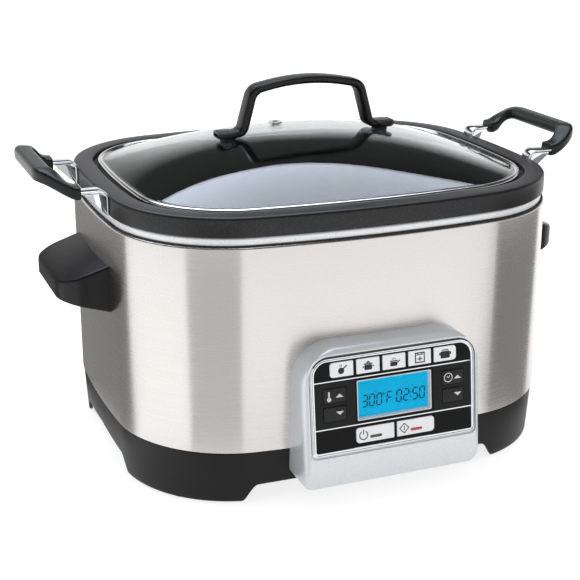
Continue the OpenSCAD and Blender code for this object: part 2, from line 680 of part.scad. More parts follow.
// The same, for a known height instead of s
function at_height(x, z, depth) = on_plane(x, (z - face_z + depth * sin(panel_lean)) / cos(panel_lean), depth);
function housing_outline(cut) = tab(panel_half - 1 - cut, panel_z0 + cut, panel_z1 - 1 - cut, panel_corner_r - cut, 8 - cut);
function plateau_outline(cut) = tab(
    fascia_half + plateau_grow - 0.6 * cut, fascia_s0 - chin_drop + cut,
    fascia_s1 + plateau_grow - 0.6 * cut, plateau_top_r, plateau_low_r);
housing_back = half_d - 45;
// Straight housing, sloping shoulder and flat plateau in one solid, drawn in by cut on every side
module housing(cut = 0) {
    side = housing_outline(cut);
    top = plateau_outline(cut);
    n = len(side);
    polyhedron(
        concat(
            [for (p = side) [p[0], -housing_back + cut, p[1]]],
            [for (p = side) at_height(p[0], p[1], shoulder_d + cut)],
            [for (p = top) on_plane(p[0], p[1], cut)]),
        concat(
            [[for (i = [0:n - 1]) i], [for (i = [n - 1:-1:0]) 2 * n + i]],
            [for (k = [0:1]) for (i = [0:n - 1]) each [
                [(k + 1) * n + i, (k + 1) * n + (i + 1) % n, k * n + (i + 1) % n],
                [(k + 1) * n + i, k * n + (i + 1) % n, k * n + i]]]));
}
module in_front(depth) on_face() translate([-far / 2, -far / 2, -depth]) cube([far, far, far]);
module bezel_screw_bosses() difference() {
    intersection() {
        bezel_screw_spots() cylinder(r = screw_r + 2.2, h = 30);
        housing(panel_wall / 2);
    }
    in_front(fascia_t + 1);
}
module panel_bezel() color("#c6cacd") difference() {
    union() {
        difference() {
            housing();
            housing(panel_wall);
        }
        bezel_screw_bosses();
        // ledge behind the trim and the fascia
        on_face() difference() {
            face_slab(plateau_grow, plateau_top_r, plateau_low_r - 3, -fascia_t - ledge_back, -1);
            face_slab(-ledge_in, fascia_top_r - 1, fascia_low_r, -far, far);
        }
    }
    // the housing stops at the casing and the base
    slab(0, base_h, far);
    base_body();
    on_face() face_slab(panel_trim_w + 0.05, trim_top_r, trim_low_r, -fascia_t, far);
    on_face() face_slab(-ledge_in, fascia_top_r - 1, fascia_low_r, -shoulder_d - 4, 1);
    bezel_screw_spots() translate([0, 0, -2]) cylinder(r = screw_r + screw_fit, h = 12);
}
module panel_trim() color("#dfe2e4") on_face() {
    difference() {
        face_slab(panel_trim_w, trim_top_r, trim_low_r, -fascia_t, trim_proud);
        face_slab(0, fascia_top_r, fascia_low_r, -fascia_t - 1, 1);
    }
    for (s = line_s) translate([-fascia_half - 1, s - line_w / 2, -line_depth]) cube([2 * fascia_half + 2, line_w, line_depth + 0.3]);
}
line_depth = 0.5;
line_s = [fascia_s0 + 17.2, fascia_s1 - 14.4];
mode_s = (line_s[1] + fascia_s1) / 2 + 0.7;
mode_x = [for (i = [-2:2]) i * mode_pitch];
arrow_x = fascia_half - 15.2;
arrow_mid = (line_s[0] + line_s[1]) / 2;
arrow_s = [arrow_mid + 6.9, arrow_mid - 6.9];
wide_x = 16.4;
wide_s = (fascia_s0 + line_s[0]) / 2;
// Every button: [x, s, width, height]
function keys() = concat(
    [for (x = mode_x) [x, mode_s, mode_w, mode_h]],
    [for (s = arrow_s) [-arrow_x, s, arrow_w, arrow_h]],
    [for (s = arrow_s) [arrow_x, s, arrow_w, arrow_h]],
    [for (x = [-wide_x, wide_x]) [x, wide_s, wide_w, wide_h]]);
key_list = keys();
module panel_fascia() color("#141314") on_face() difference() {
    face_slab(-0.05, fascia_top_r, fascia_low_r, -fascia_t, 0);
    for (k = key_list) translate([k[0], k[1], 0]) plate(k[2] + 2 * seat_gap, k[3] + 2 * seat_gap, -far, far, 1.2);
    translate([0, arrow_mid, 0]) plate(lcd_w + 0.1, lcd_h + 0.1, -far, far, 0.6);
    for (s = line_s) translate([-fascia_half - 1, s - line_w / 2, -line_depth]) cube([2 * fascia_half + 2, line_w, 1]);
}
module lcd_frame() color("#d3d6d8") on_face() translate([0, arrow_mid, 0]) difference() {
    plate(lcd_w, lcd_h, -lcd_depth, 0.3, 0.6);
    plate(lcd_w - 2 * lcd_border, lcd_h - 2 * lcd_border, -lcd_depth - 1, 1, 0.5);
}
window_t = 0.8;
module lcd_window() color("#9adcf0") on_face() translate([0, arrow_mid, 0])
    plate(lcd_w, lcd_h, -lcd_depth - window_t, -lcd_depth, 0.6);
board_depth = 11;
// Room between the control board and the housing's straight sides
board_side_gap = 9.1;
module lcd_module() color("#00a8d8") on_face() translate([0, arrow_mid, 0])
    plate(lcd_w + 4, lcd_h + 1, -board_depth, -lcd_depth - window_t, 1);
module control_board() color("#2f5d3a") on_face() difference() {
    translate([0, 0, -board_depth - board_t]) linear_extrude(board_t)
        polygon(tab(panel_half - panel_wall - board_side_gap, fascia_s0 + 2.2, fascia_s1 - 2.2, 8, 2));
    board_screw_spots() translate([0, 0, -board_depth - 5]) cylinder(r = board_screw_r + screw_fit, h = 10);
}
switch_h = 4.2;
module tact_switches() color("#303236") on_face() for (k = key_list) translate([k[0], k[1], 0]) {
    plate(6, 6, -board_depth, -board_depth + switch_h - 0.9, 0.5);
    translate([0, 0, -board_depth]) cylinder(r = 1.7, h = switch_h);
}
// The board hangs from two screws that stand behind the fascia, left and right of the display
board_screw_r = 1.4;
module board_screw_spots() for (x = [-1, 1]) translate([x * (lcd_w / 2 + 4.4), arrow_mid, 0]) children();
module board_screws() color("#b9bcc0") on_face() board_screw_spots() {
    translate([0, 0, -board_depth - board_t - 1.4]) cylinder(r = board_screw_r + 0.5, h = 1.4);
    translate([0, 0, -board_depth - board_t]) cylinder(r = board_screw_r, h = board_depth + board_t - fascia_t);
}
panel_screw_l = 9;
module panel_screws() color("#b9bcc0") bezel_screw_spots() {
    translate([0, 0, -sheet - screw_head_h - seat_gap]) cylinder(r = screw_head_r, h = screw_head_h);
    translate([0, 0, -sheet - seat_gap]) cylinder(r = screw_r, h = panel_screw_l);
}

// ---- buttons ----
button_back = -board_depth + switch_h + press_travel + seat_gap;
flange_grow = 0.7;
module button(k) on_face() translate([k[0], k[1], 0]) {
    plate(k[2], k[3], -fascia_t - seat_gap - 0.01, button_proud, 1);
    plate(k[2] + 2 * flange_grow, k[3] - 2, -fascia_t - seat_gap - 1.2, -fascia_t - seat_gap, 1);
    translate([0, 0, button_back]) cylinder(r = 1.5, h = -fascia_t - seat_gap - 1.2 - button_back);
}
lens_w = 9.6;
lens_h = 2.2;
lens_x = 0.4;
lens_s = -2;
lens_t = 1.2;
module lens_pocket(k) on_face() translate([k[0] + lens_x, k[1] + lens_s, 0])
    plate(lens_w, lens_h, button_proud - lens_t, button_proud + 1, 0.8);
module lens(k) on_face() translate([k[0] + lens_x, k[1] + lens_s, 0])
    plate(lens_w, lens_h, button_proud - lens_t, button_proud, 0.8);
module lit_button(k) difference() {
    button(k);
    lens_pocket(k);
}
module sear_button() color("#e9e9e8") button(key_list[0]);
module slow_cook_button() color("#e9e9e8") button(key_list[1]);
module simmer_button() color("#e9e9e8") button(key_list[2]);
module bake_button() color("#e9e9e8") button(key_list[3]);
module steam_button() color("#e9e9e8") button(key_list[4]);
module temp_up_button() color("#262527") button(key_list[5]);
module temp_down_button() color("#262527") button(key_list[6]);
module time_up_button() color("#262527") button(key_list[7]);
module time_down_button() color("#262527") button(key_list[8]);
module power_button() color("#e9e9e8") lit_button(key_list[9]);
module start_button() color("#e9e9e8") lit_button(key_list[10]);
module power_led_lens() color("#2e3a22") lens(key_list[9]);
module start_led_lens() color("#c4202a") lens(key_list[10]);

ribbon_w = 24;
ribbon_t = 0.8;
ribbon_y0 = -(half_d - 14);
ribbon_y1 = board_at[1] - board_w / 2 + 4;
ribbon_z = 62;
module ribbon_cable() color("#8f9296") {
    // out of the control board, through the casing's window, down and back to the power board
    start_y = -(half_d + panel_out) + (ribbon_z - face_z) * tan(panel_lean) + (board_depth + board_t) / cos(panel_lean);
    translate([board_at[0] - 36, 0, 0]) rotate([90, 0, 90]) linear_extrude(ribbon_w) polygon([
        [start_y, ribbon_z], [ribbon_y0, ribbon_z], [ribbon_y0, board_top + 3 + ribbon_t], [ribbon_y1, board_top + 3 + ribbon_t],
        [ribbon_y1, board_top], [ribbon_y1 - ribbon_t, board_top], [ribbon_y1 - ribbon_t, board_top + 3],
        [ribbon_y0 - ribbon_t, board_top + 3], [ribbon_y0 - ribbon_t, ribbon_z - ribbon_t],
        [start_y + (ribbon_t) * tan(panel_lean) * -1, ribbon_z - ribbon_t]]);
}

// ---- pot ----
bracket_arc = side_arc(bracket_y);
// Frame of a bracket on the right: X out of the skirt, origin on the skirt's face
module bracket_spot() translate(bracket_arc[0]) rotate([0, 0, bracket_arc[2]])
    translate([bracket_arc[1] - skirt_inset, 0, 0]) children();
module bracket_spots() both_sides() mirrored([0, 1, 0]) bracket_spot() children();
bracket_screw_z = rim_z - skirt_h * 0.55;
module cooking_pot() color("#3c3840") difference() {
    union() {
        difference() {
            slab(skirt_inset, skirt_z, rim_z);
            slab(skirt_inset + skirt_t, skirt_z - 1, rim_z - skirt_t);
        }
        // trough wall and lid ledge, under the flat rim
        slab(skirt_inset + rim_w - skirt_t, ledge_z - skirt_t, rim_z);
        loft([[outline(pot_inset + pot_toe), pot_bottom], [outline(pot_inset + pot_toe * 0.3), pot_bottom + pot_toe * 0.3],
            [outline(pot_inset), pot_bottom + pot_toe], [outline(pot_inset), rim_z - skirt_t]]);
    }
    slab(skirt_inset + rim_w, ledge_z, rim_z + 1);
    loft([[outline(pot_inset + pot_wall + pot_toe - 1), pot_bottom + pot_floor],
        [outline(pot_inset + pot_wall + pot_toe * 0.3), pot_bottom + pot_floor + pot_toe * 0.3],
        [outline(pot_inset + pot_wall), pot_bottom + pot_floor + pot_toe], [outline(pot_inset + pot_wall), rim_z + 1]]);
    bracket_spots() translate([-skirt_t - 2, 0, bracket_screw_z]) rotate([0, 90, 0]) cylinder(r = screw_r + screw_fit, h = skirt_t + 4);
}
strap_z = rim_z + bracket_rise;
module bracket() difference() {
    union() {
        // strap and leg, bent from one sheet
        rotate([90, 0, 0]) linear_extrude(bracket_w, center = true) polygon(rounded([
            [[0, skirt_z + 1], 0], [[bracket_t, skirt_z + 1], 0], [[bracket_t, strap_z - bracket_t], 2],
            [[bracket_reach, strap_z - bracket_t], 0], [[bracket_reach, strap_z], 0], [[0, strap_z], 2 + bracket_t]]));
        // side gussets
        mirrored([0, 1, 0]) translate([0, -bracket_w / 2 + bracket_t * 0.6, 0]) rotate([90, 0, 0]) linear_extrude(bracket_t * 0.6)
            polygon([[bracket_t, skirt_z + 2.5], [grip_start - 0.5, strap_z - bracket_t - 1.5], [grip_start - 0.5, strap_z - bracket_t], [bracket_t, strap_z - bracket_t]]);
    }
    translate([-1, 0, bracket_screw_z]) rotate([0, 90, 0]) cylinder(r = screw_r + screw_fit, h = bracket_t + 2);
}
module pot_brackets() color("#d9dbdd") bracket_spots() bracket();
rivet_head_t = 1.2;
rivet_gap = 0.4;
module pot_bracket_screws() color("#c9ccce") bracket_spots()
    translate([-skirt_t - rivet_gap - rivet_head_t, 0, bracket_screw_z]) rotate([0, 90, 0]) {
        cylinder(r = screw_r * 1.7, h = rivet_head_t);
        cylinder(r = screw_r, h = rivet_head_t + rivet_gap + skirt_t + bracket_t);
        translate([0, 0, rivet_head_t + rivet_gap + skirt_t + bracket_t]) cylinder(r = screw_r * 1.7, h = rivet_head_t);
    }
grip_skirt_x = half_w - skirt_inset;
bar_x = grip_skirt_x + grip_reach - grip_bar_w / 2;
grip_end_x = grip_skirt_x + grip_start;
grip_corner_r = 16;
grip_steps = 8;
grip_z = strap_z - bracket_t / 2;
function grip_plan() = concat(
    [[grip_end_x, -bracket_y], [grip_end_x + 5, -bracket_y]],
    arc([bar_x - grip_corner_r, -bracket_y + grip_corner_r], grip_corner_r, -90, 0, grip_steps),
    [[bar_x, 0]],
    arc([bar_x - grip_corner_r, bracket_y - grip_corner_r], grip_corner_r, 0, 90, grip_steps),
    [[grip_end_x + 5, bracket_y], [grip_end_x, bracket_y]]);
function grip_path() = [for (p = grip_plan()) let (t = ease((p[0] - grip_end_x - 6) / (bar_x - grip_end_x - 6)))
    [[p[0], p[1], grip_z + grip_rise * t], grip_root_w + (grip_bar_w - grip_root_w) * t]];
module grip() difference() {
    flat_sweep(grip_path(), grip_t);
    // pockets for the bracket straps
    mirrored([0, 1, 0]) bracket_spot() translate([0, -bracket_w / 2 - screw_fit, strap_z - bracket_t - screw_fit])
        cube([bracket_reach + screw_fit, bracket_w + 2 * screw_fit, bracket_t + 2 * screw_fit]);
}
module pot_grip_right() color("#2a322c") grip();
module pot_grip_left() color("#2a322c") mirror([1, 0, 0]) grip();

// ---- lid ----
lid_z = ledge_z + seat_gap;
glass_z = lid_z + 0.8;
glass_inset = lid_inset + 1.6;
dome_inset = lid_inset + 6.6;
dome_steps = 9;
function dome_rise(k) = dome_h * (1 - pow(k, dome_power));
// How far a point lies outside the oval that the outlines ease into towards the top
function oval(p) = norm([p[0] / (half_w - dome_inset), p[1] / (half_d - dome_inset)]);
// Stack of shrinking outlines from the dome's edge to its top, for the upper (lift = glass_t) or lower face of the glass
function dome_at(lift) = [for (i = [0:dome_steps]) let (k = max(0.04, cos(90 * i / dome_steps)))
    [[for (p = outline(dome_inset)) p * k * (k * k + (1 - k * k) / oval(p))], glass_z + lift + dome_rise(k)]];
module under_dome(lift) loft(concat([[outline(dome_inset), glass_z - 10]], dome_at(lift)), split = true);
// Height of the glass's upper face over a point of the lid
function glass_top(x) = glass_z + glass_t + dome_rise(abs(x) / (half_w - dome_inset));
screw_x = lid_handle_half - lid_screw_inset;
vent_at = [-13, 34];
vent_tube_r = vent_hole_r + 1.2;
vent_flange_t = 1.3;
// The eyelet's flanges clear the glass at their edges nearest to and furthest from the middle of the lid
function vent_rise(reach) = dome_rise((vent_at[1] + reach) / (half_d - dome_inset));
vent_top_z = glass_z + glass_t + vent_rise(-vent_r) + 0.1;
vent_low_z = glass_z + vent_rise(vent_r) - 0.35;
module glass_holes() {
    for (x = [-screw_x, screw_x]) translate([x, 0, lid_z]) cylinder(r = screw_r + screw_fit + seat_gap, h = far);
    translate([vent_at[0], vent_at[1], lid_z]) cylinder(r = vent_tube_r + screw_fit, h = far);
}
module lid_glass() color("#aeb9bb", 0.45) difference() {
    loft(concat([[outline(glass_inset), glass_z], [outline(glass_inset), glass_z + glass_t]], dome_at(glass_t)), split = true);
    under_dome(0);
    glass_holes();
}
module lid_rim() color("#cfd1d2") difference() {
    ring(lid_inset, lid_inset + lid_rim_w, lid_z, lid_z + lid_rim_h);
    ring(glass_inset, lid_inset + lid_rim_w + 1, glass_z, glass_z + glass_t);
}
foot_z = glass_top(screw_x) + spacer_h + 0.4;
foot_h = 5.2;
arch_z = foot_z + lid_handle_h + strap_t;
knee_in = 18;
shoulder_in = 27.5;
knee_x = lid_handle_half - knee_in;
shoulder_x = lid_handle_half - shoulder_in;
apex_lift = 7;
crown_rise = apex_lift + 2.6;
inner_knee_in = 5.6;
inner_shoulder_in = 5.3;
inner_shoulder_r = 8;
// Bend of the strap's top, whose ends stay clear of the inner shoulders' own bends
apex_r = (shoulder_x - inner_shoulder_in) * (shoulder_x - inner_shoulder_in - inner_shoulder_r + 1) / crown_rise;
function strap_half(outer) = let (d = outer ? 0 : strap_t) [
    [[knee_x - (outer ? 0 : inner_knee_in), outer ? foot_z + foot_h : foot_z], outer ? 5 : 9],
    [[shoulder_x - (outer ? 0 : inner_shoulder_in), arch_z - apex_lift - d - (outer ? 0 : 0.4)], outer ? 13 : inner_shoulder_r],
    [[0, arch_z + 2.2 - d], apex_r]];
module lid_handle_profile() {
    o = strap_half(true);
    i = strap_half(false);
    polygon(rounded(concat(
        [[[lid_handle_half, foot_z], 1], [[lid_handle_half, foot_z + foot_h], 2], o[0], o[1], o[2]],
        [for (k = [1:-1:0]) [[-o[k][0][0], o[k][0][1]], o[k][1]]],
        [[[-lid_handle_half, foot_z + foot_h], 2], [[-lid_handle_half, foot_z], 1]],
        [for (k = [0:1]) [[-i[k][0][0], i[k][0][1]], i[k][1]]],
        [i[2], i[1], i[0]])));
}
module lid_handle() color("#232122") difference() {
    union() {
        rotate([90, 0, 0]) linear_extrude(strap_w, center = true) lid_handle_profile();
        mirrored([1, 0, 0]) translate([knee_x + 3, -lid_foot_w / 2, foot_z]) cube([lid_handle_half - knee_x - 4, lid_foot_w, foot_h - 0.4]);
    }
    for (x = [-screw_x, screw_x]) translate([x, 0, foot_z - 1]) cylinder(r = screw_r + screw_fit, h = 1 + foot_h - 1.4);
}
module lid_handle_spacers() color("#1c1b1c") difference() {
    mirrored([1, 0, 0]) translate([screw_x, 0, foot_z - spacer_h - 3.5]) cylinder(r = 6.5, h = spacer_h + 3.5);
    under_dome(glass_t);
    for (x = [-screw_x, screw_x]) translate([x, 0, lid_z]) cylinder(r = screw_r + screw_fit, h = far);
}
module lid_handle_screws() color("#c2c5c8") {
    head_z = glass_top(screw_x + 7) - glass_t - 4;
    for (x = [-screw_x, screw_x]) translate([x, 0, head_z]) {
        cylinder(r = screw_r * 2.1, h = 2.2);
        cylinder(r = screw_r, h = foot_z + foot_h - 2 - head_z);
    }
    // cupped washers under the glass
    intersection() {
        for (x = [-screw_x, screw_x]) translate([x, 0, head_z + 2]) cylinder(r = 6, h = 9);
        under_dome(0);
    }
}
module vent_eyelet() color("#c9cccd") translate([vent_at[0], vent_at[1], 0]) difference() {
    union() {
        translate([0, 0, vent_top_z]) cylinder(r = vent_r, h = vent_flange_t);
        translate([0, 0, vent_low_z - vent_flange_t]) cylinder(r = vent_tube_r, h = vent_top_z - vent_low_z + 2 * vent_flange_t);
        translate([0, 0, vent_low_z - vent_flange_t]) cylinder(r = vent_r, h = vent_flange_t);
    }
    translate([0, 0, lid_z]) cylinder(r = vent_hole_r, h = far);
}

seat() base_housing();
seat() bottom_cover();
seat() foot_pads();
seat() base_screws();
seat() outer_casing();
seat() casing_gasket();
seat() trim_ring();
seat() heating_well();
seat() insulation_blanket();
seat() side_handle_left();
seat() side_handle_right();
seat() side_handle_screws();
seat() heater_plate();
seat() heater_tube();
seat() heat_shield();
seat() shield_posts();
seat() sensor_holder();
seat() sensor_spring();
seat() pot_sensor();
seat() thermal_fuse();
seat() power_board();
seat() relay();
seat() transformer();
seat() heater_leads();
seat() ribbon_cable();
seat() cord_gland();
seat() panel_bezel();
seat() panel_trim();
seat() panel_fascia();
seat() lcd_frame();
seat() lcd_window();
seat() lcd_module();
seat() control_board();
seat() tact_switches();
seat() board_screws();
seat() panel_screws();
seat() sear_button();
seat() slow_cook_button();
seat() simmer_button();
seat() bake_button();
seat() steam_button();
seat() temp_up_button();
seat() temp_down_button();
seat() time_up_button();
seat() time_down_button();
seat() power_button();
seat() start_button();
seat() power_led_lens();
seat() start_led_lens();
seat() cooking_pot();
seat() pot_brackets();
seat() pot_grip_left();
seat() pot_grip_right();
seat() pot_bracket_screws();
seat() lid_glass();
seat() lid_rim();
seat() lid_handle();
seat() lid_handle_spacers();
seat() lid_handle_screws();
seat() vent_eyelet();
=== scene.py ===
import bmesh
import bpy
import json
import math
from mathutils import Matrix, Vector


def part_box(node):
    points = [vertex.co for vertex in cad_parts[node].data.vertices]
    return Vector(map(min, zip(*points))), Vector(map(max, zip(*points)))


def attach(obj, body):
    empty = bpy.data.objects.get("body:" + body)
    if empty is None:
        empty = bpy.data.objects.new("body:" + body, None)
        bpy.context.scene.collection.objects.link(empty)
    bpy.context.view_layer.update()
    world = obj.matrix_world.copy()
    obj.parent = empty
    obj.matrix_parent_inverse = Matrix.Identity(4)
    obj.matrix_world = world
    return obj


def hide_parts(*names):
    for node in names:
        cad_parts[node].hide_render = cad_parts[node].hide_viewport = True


mm = 0.001  # every size below is in millimetres, Blender works in metres

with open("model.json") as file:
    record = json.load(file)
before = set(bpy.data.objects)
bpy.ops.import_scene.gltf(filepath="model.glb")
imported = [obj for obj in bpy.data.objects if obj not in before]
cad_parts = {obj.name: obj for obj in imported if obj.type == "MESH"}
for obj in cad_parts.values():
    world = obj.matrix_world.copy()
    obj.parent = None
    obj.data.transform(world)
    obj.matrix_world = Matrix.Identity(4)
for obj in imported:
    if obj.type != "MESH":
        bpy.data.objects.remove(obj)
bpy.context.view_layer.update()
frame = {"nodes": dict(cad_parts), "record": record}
print("frame loaded")


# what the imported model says, in millimetres

def low(node):
    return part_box(node)[0] / mm


def high(node):
    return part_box(node)[1] / mm


seatY = (low("outer_casing").y + high("outer_casing").y) / 2  # middle of the casing, pieces are drawn round it
halfWidth = (high("outer_casing").x - low("outer_casing").x) / 2
halfDepth = (high("outer_casing").y - low("outer_casing").y) / 2

outline = {
    "sideBow": 785,  # radius of the bowed side faces
    "frontBow": 813,  # radius of the bowed front and back faces
    "corner": 94,  # radius of the upright corners
}


def findCorner():  # centre of the corner arc, and where the side and front arcs meet it
    side = Vector((halfWidth - outline["sideBow"], 0))
    front = Vector((0, halfDepth - outline["frontBow"]))
    span = (side - front).length
    frontRun = outline["frontBow"] - outline["corner"]
    sideRun = outline["sideBow"] - outline["corner"]
    along = (frontRun ** 2 - sideRun ** 2 + span ** 2) / (2 * span)
    toward = (side - front) / span
    centre = front + along * toward + math.sqrt(frontRun ** 2 - along ** 2) * Vector((toward.y, -toward.x))
    return centre, (centre - side).angle(Vector((1, 0))), (centre - front).angle(Vector((1, 0)))


cornerCentre, sideTurn, frontTurn = findCorner()


# small tools for drawing

def clearSelection():
    if bpy.context.mode != "OBJECT":
        bpy.ops.object.mode_set(mode="OBJECT")
    bpy.ops.object.select_all(action="DESELECT")


def choose(piece):
    clearSelection()
    piece.select_set(True)
    bpy.context.view_layer.objects.active = piece


def pick(piece, test, kind="VERT"):  # selects what passes the test on its place (or its normal), in edit mode
    bpy.ops.mesh.select_mode(type=kind)
    mesh = bmesh.from_edit_mesh(piece.data)
    for vert in mesh.verts:
        vert.select_set(False)
    for face in mesh.faces:
        face.select_set(False)
    items = {"VERT": mesh.verts, "EDGE": mesh.edges, "FACE": mesh.faces}[kind]
    for item in items:
        if test(item):
            item.select_set(True)
    mesh.select_flush_mode()
    bmesh.update_edit_mesh(piece.data)


def roundCorners(corners, steps=5):  # (a, b, radius) for each corner, radius 0 keeps it sharp
    points = []
    for i, (a, b, radius) in enumerate(corners):
        corner = Vector((a, b))
        if not radius:
            points.append(corner)
            continue
        before = (Vector(corners[i - 1][:2]) - corner).normalized()
        after = (Vector(corners[(i + 1) % len(corners)][:2]) - corner).normalized()
        half = before.angle(after) / 2
        centre = corner + (before + after).normalized() * radius / math.sin(half)
        start = corner + before * radius / math.tan(half) - centre
        end = corner + after * radius / math.tan(half) - centre
        first = math.atan2(start.y, start.x)
        turn = (math.atan2(end.y, end.x) - first + math.pi) % math.tau - math.pi
        for k in range(steps + 1):
            angle = first + turn * k / steps
            points.append(centre + radius * Vector((math.cos(angle), math.sin(angle))))
    return points


def tab(half, y0, y1, topRadius, lowRadius, steps=8):  # rounded rectangle, counter-clockwise
    return roundCorners([(half, y0, lowRadius), (half, y1, topRadius), (-half, y1, topRadius), (-half, y0, lowRadius)], steps)


def block(x, y, width, height, radius, steps=4):
    return roundCorners([
        (x + width / 2, y - height / 2, radius), (x + width / 2, y + height / 2, radius),
        (x - width / 2, y + height / 2, radius), (x - width / 2, y - height / 2, radius)], steps)


def disc(x, y, radius, count=20):
    return [Vector((x + radius * math.cos(math.tau * i / count), y + radius * math.sin(math.tau * i / count))) for i in range(count)]


def raised(flat, z):  # a flat outline lifted to a height
    return [Vector((q.x, q.y, z)) for q in flat]


def startPoint(name, point):  # a single vertex, from a plane merged at its middle
    clearSelection()
    bpy.ops.mesh.primitive_plane_add(size=mm, location=(0, 0, 0))
    piece = bpy.context.object
    piece.name = piece.data.name = name
    bpy.ops.object.mode_set(mode="EDIT")
    bpy.ops.mesh.select_mode(type="VERT")
    bpy.ops.mesh.select_all(action="SELECT")
    bpy.ops.mesh.merge(type="CENTER")
    bpy.ops.transform.translate(value=point * mm)
    return piece


def closeMesh(weld=0):  # in edit mode: merges doubles, turns the faces outwards and goes back to object mode
    bpy.ops.mesh.select_all(action="SELECT")
    if weld:
        bpy.ops.mesh.remove_doubles(threshold=weld)
    bpy.ops.mesh.normals_make_consistent(inside=False)
    bpy.ops.object.mode_set(mode="OBJECT")


def drawChain(name, points, closed=True):  # edges from point to point; stays in edit mode
    points = [Vector(p).to_3d() for p in points]
    piece = startPoint(name, points[0])
    for start, end in zip(points, points[1:]):
        bpy.ops.mesh.extrude_region_move(TRANSFORM_OT_translate={"value": (end - start) * mm})
    if closed:
        ends = (points[0] * mm, points[-1] * mm)
        pick(piece, lambda v: min((v.co - e).length for e in ends) < 1e-6)
        bpy.ops.mesh.edge_face_add()
    bpy.ops.mesh.select_all(action="SELECT")
    return piece


def prism(name, points, depth, along=(0, 0, 1)):  # a closed outline pulled straight by depth; the outline may be 3-D
    piece = drawChain(name, points)
    bpy.ops.mesh.edge_face_add()
    bpy.ops.mesh.extrude_region_move(TRANSFORM_OT_translate={"value": Vector(along) * depth * mm})
    closeMesh()
    return piece


def turnRound(name, profile, steps, weld, closed=True):  # profile of (radius, z) spun round the upright axis
    piece = drawChain(name, [(r, 0, z) for r, z in profile], closed)
    bpy.ops.mesh.spin(steps=steps, angle=math.tau, center=(0, 0, 0), axis=(0, 0, 1))
    closeMesh(weld)
    return piece


def wrapSheet(name, loops, closed=False, capped=True):  # a grid wrapped round loops of as many points each
    clearSelection()
    across, rows = len(loops[0]), len(loops)
    bpy.ops.mesh.primitive_grid_add(x_subdivisions=across, y_subdivisions=rows - (0 if closed else 1), size=1)
    piece = bpy.context.object
    piece.name = piece.data.name = name
    loops = loops + loops[:1] if closed else loops
    for j, loop in enumerate(loops):
        for i in range(across + 1):
            piece.data.vertices[j * (across + 1) + i].co = Vector(loop[i % across]) * mm
    bpy.ops.object.mode_set(mode="EDIT")
    bpy.ops.mesh.select_all(action="SELECT")
    bpy.ops.mesh.remove_doubles(threshold=1e-7)
    if capped and not closed:
        bpy.ops.mesh.select_all(action="DESELECT")
        bpy.ops.mesh.select_non_manifold(extend=False)
        bpy.ops.mesh.edge_face_add()
    closeMesh()
    return piece


def modify(piece, kind, **settings):
    choose(piece)
    bpy.ops.object.modifier_add(type=kind)
    modifier = piece.modifiers[-1]
    for setting, value in settings.items():
        setattr(modifier, setting, value)
    bpy.ops.object.modifier_apply(modifier=modifier.name)


def soften(piece, width, segments=3, angle=40):
    modify(piece, "BEVEL", width=width * mm, segments=segments, limit_method="ANGLE", angle_limit=math.radians(angle),
           use_clamp_overlap=True, harden_normals=False)


def cutWith(piece, cutter, operation="DIFFERENCE"):
    modify(piece, "BOOLEAN", operation=operation, object=cutter, solver="EXACT")
    bpy.data.objects.remove(cutter)


def joined(name, pieces):
    choose(pieces[0])
    for other in pieces[1:]:
        other.select_set(True)
    bpy.ops.object.join()
    pieces[0].name = pieces[0].data.name = name
    return pieces[0]


def copied(piece, name, matrix):  # a copy with its own mesh, its place worked into the mesh
    twin = piece.copy()
    twin.data = piece.data.copy()
    twin.name = twin.data.name = name
    bpy.context.collection.objects.link(twin)
    twin.data.transform(matrix)
    if matrix.determinant() < 0:
        twin.data.flip_normals()
    return twin


def shift(x=0, y=0, z=0):
    return Matrix.Translation(Vector((x, y, z)) * mm)


def sweepAround(name, profile, closed=True, steps=(6, 32, 8)):  # profile of (inset, z), spun round a quarter and mirrored
    piece = drawChain(name, [(halfWidth - a, 0, z) for a, z in profile], closed)
    arcs = [((halfWidth - outline["sideBow"], 0), sideTurn), (cornerCentre, frontTurn - sideTurn),
            ((0, halfDepth - outline["frontBow"]), math.pi / 2 - frontTurn)]
    for (centre, turn), count in zip(arcs, steps):  # spin turns clockwise, so the angle is negative
        bpy.ops.mesh.spin(steps=count, angle=-turn, center=(centre[0] * mm, centre[1] * mm, 0), axis=(0, 0, 1))
    bpy.ops.object.mode_set(mode="OBJECT")
    modify(piece, "MIRROR", use_axis=(True, True, False), use_mirror_merge=True, merge_threshold=1e-5)
    bpy.ops.object.mode_set(mode="EDIT")
    closeMesh(1e-6)
    return piece


def outlineLoop(inset, z=0, steps=(6, 26, 8)):  # the plan outline, drawn in by inset, as one loop of points
    arcs = [((halfWidth - outline["sideBow"], 0), outline["sideBow"], 0, sideTurn), (cornerCentre, outline["corner"], sideTurn, frontTurn),
            ((0, halfDepth - outline["frontBow"]), outline["frontBow"], frontTurn, math.pi / 2)]
    quarter = []
    for (centre, radius, start, end), count in zip(arcs, steps):
        for i in range(count):
            angle = start + (end - start) * i / count
            quarter.append((centre[0] + (radius - inset) * math.cos(angle), centre[1] + (radius - inset) * math.sin(angle)))
    quarter.append((0, halfDepth - inset))
    left = [(-x, y) for x, y in reversed(quarter[:-1])]
    loop = quarter + left + [(-x, -y) for x, y in quarter[1:]] + [(x, -y) for x, y in reversed(quarter[1:-1])]
    return [Vector((x, y, z)) for x, y in loop]


def capLoop(piece, z, inset):  # closes the loop of edges at a height and inset with one face
    choose(piece)
    bpy.ops.object.mode_set(mode="EDIT")
    pick(piece, lambda v: abs(v.co.z / mm - z) < 0.01 and abs(v.co.x / mm) < halfWidth - inset + 0.1 and v.is_boundary)
    bpy.ops.mesh.edge_face_add()
    bpy.ops.object.mode_set(mode="OBJECT")


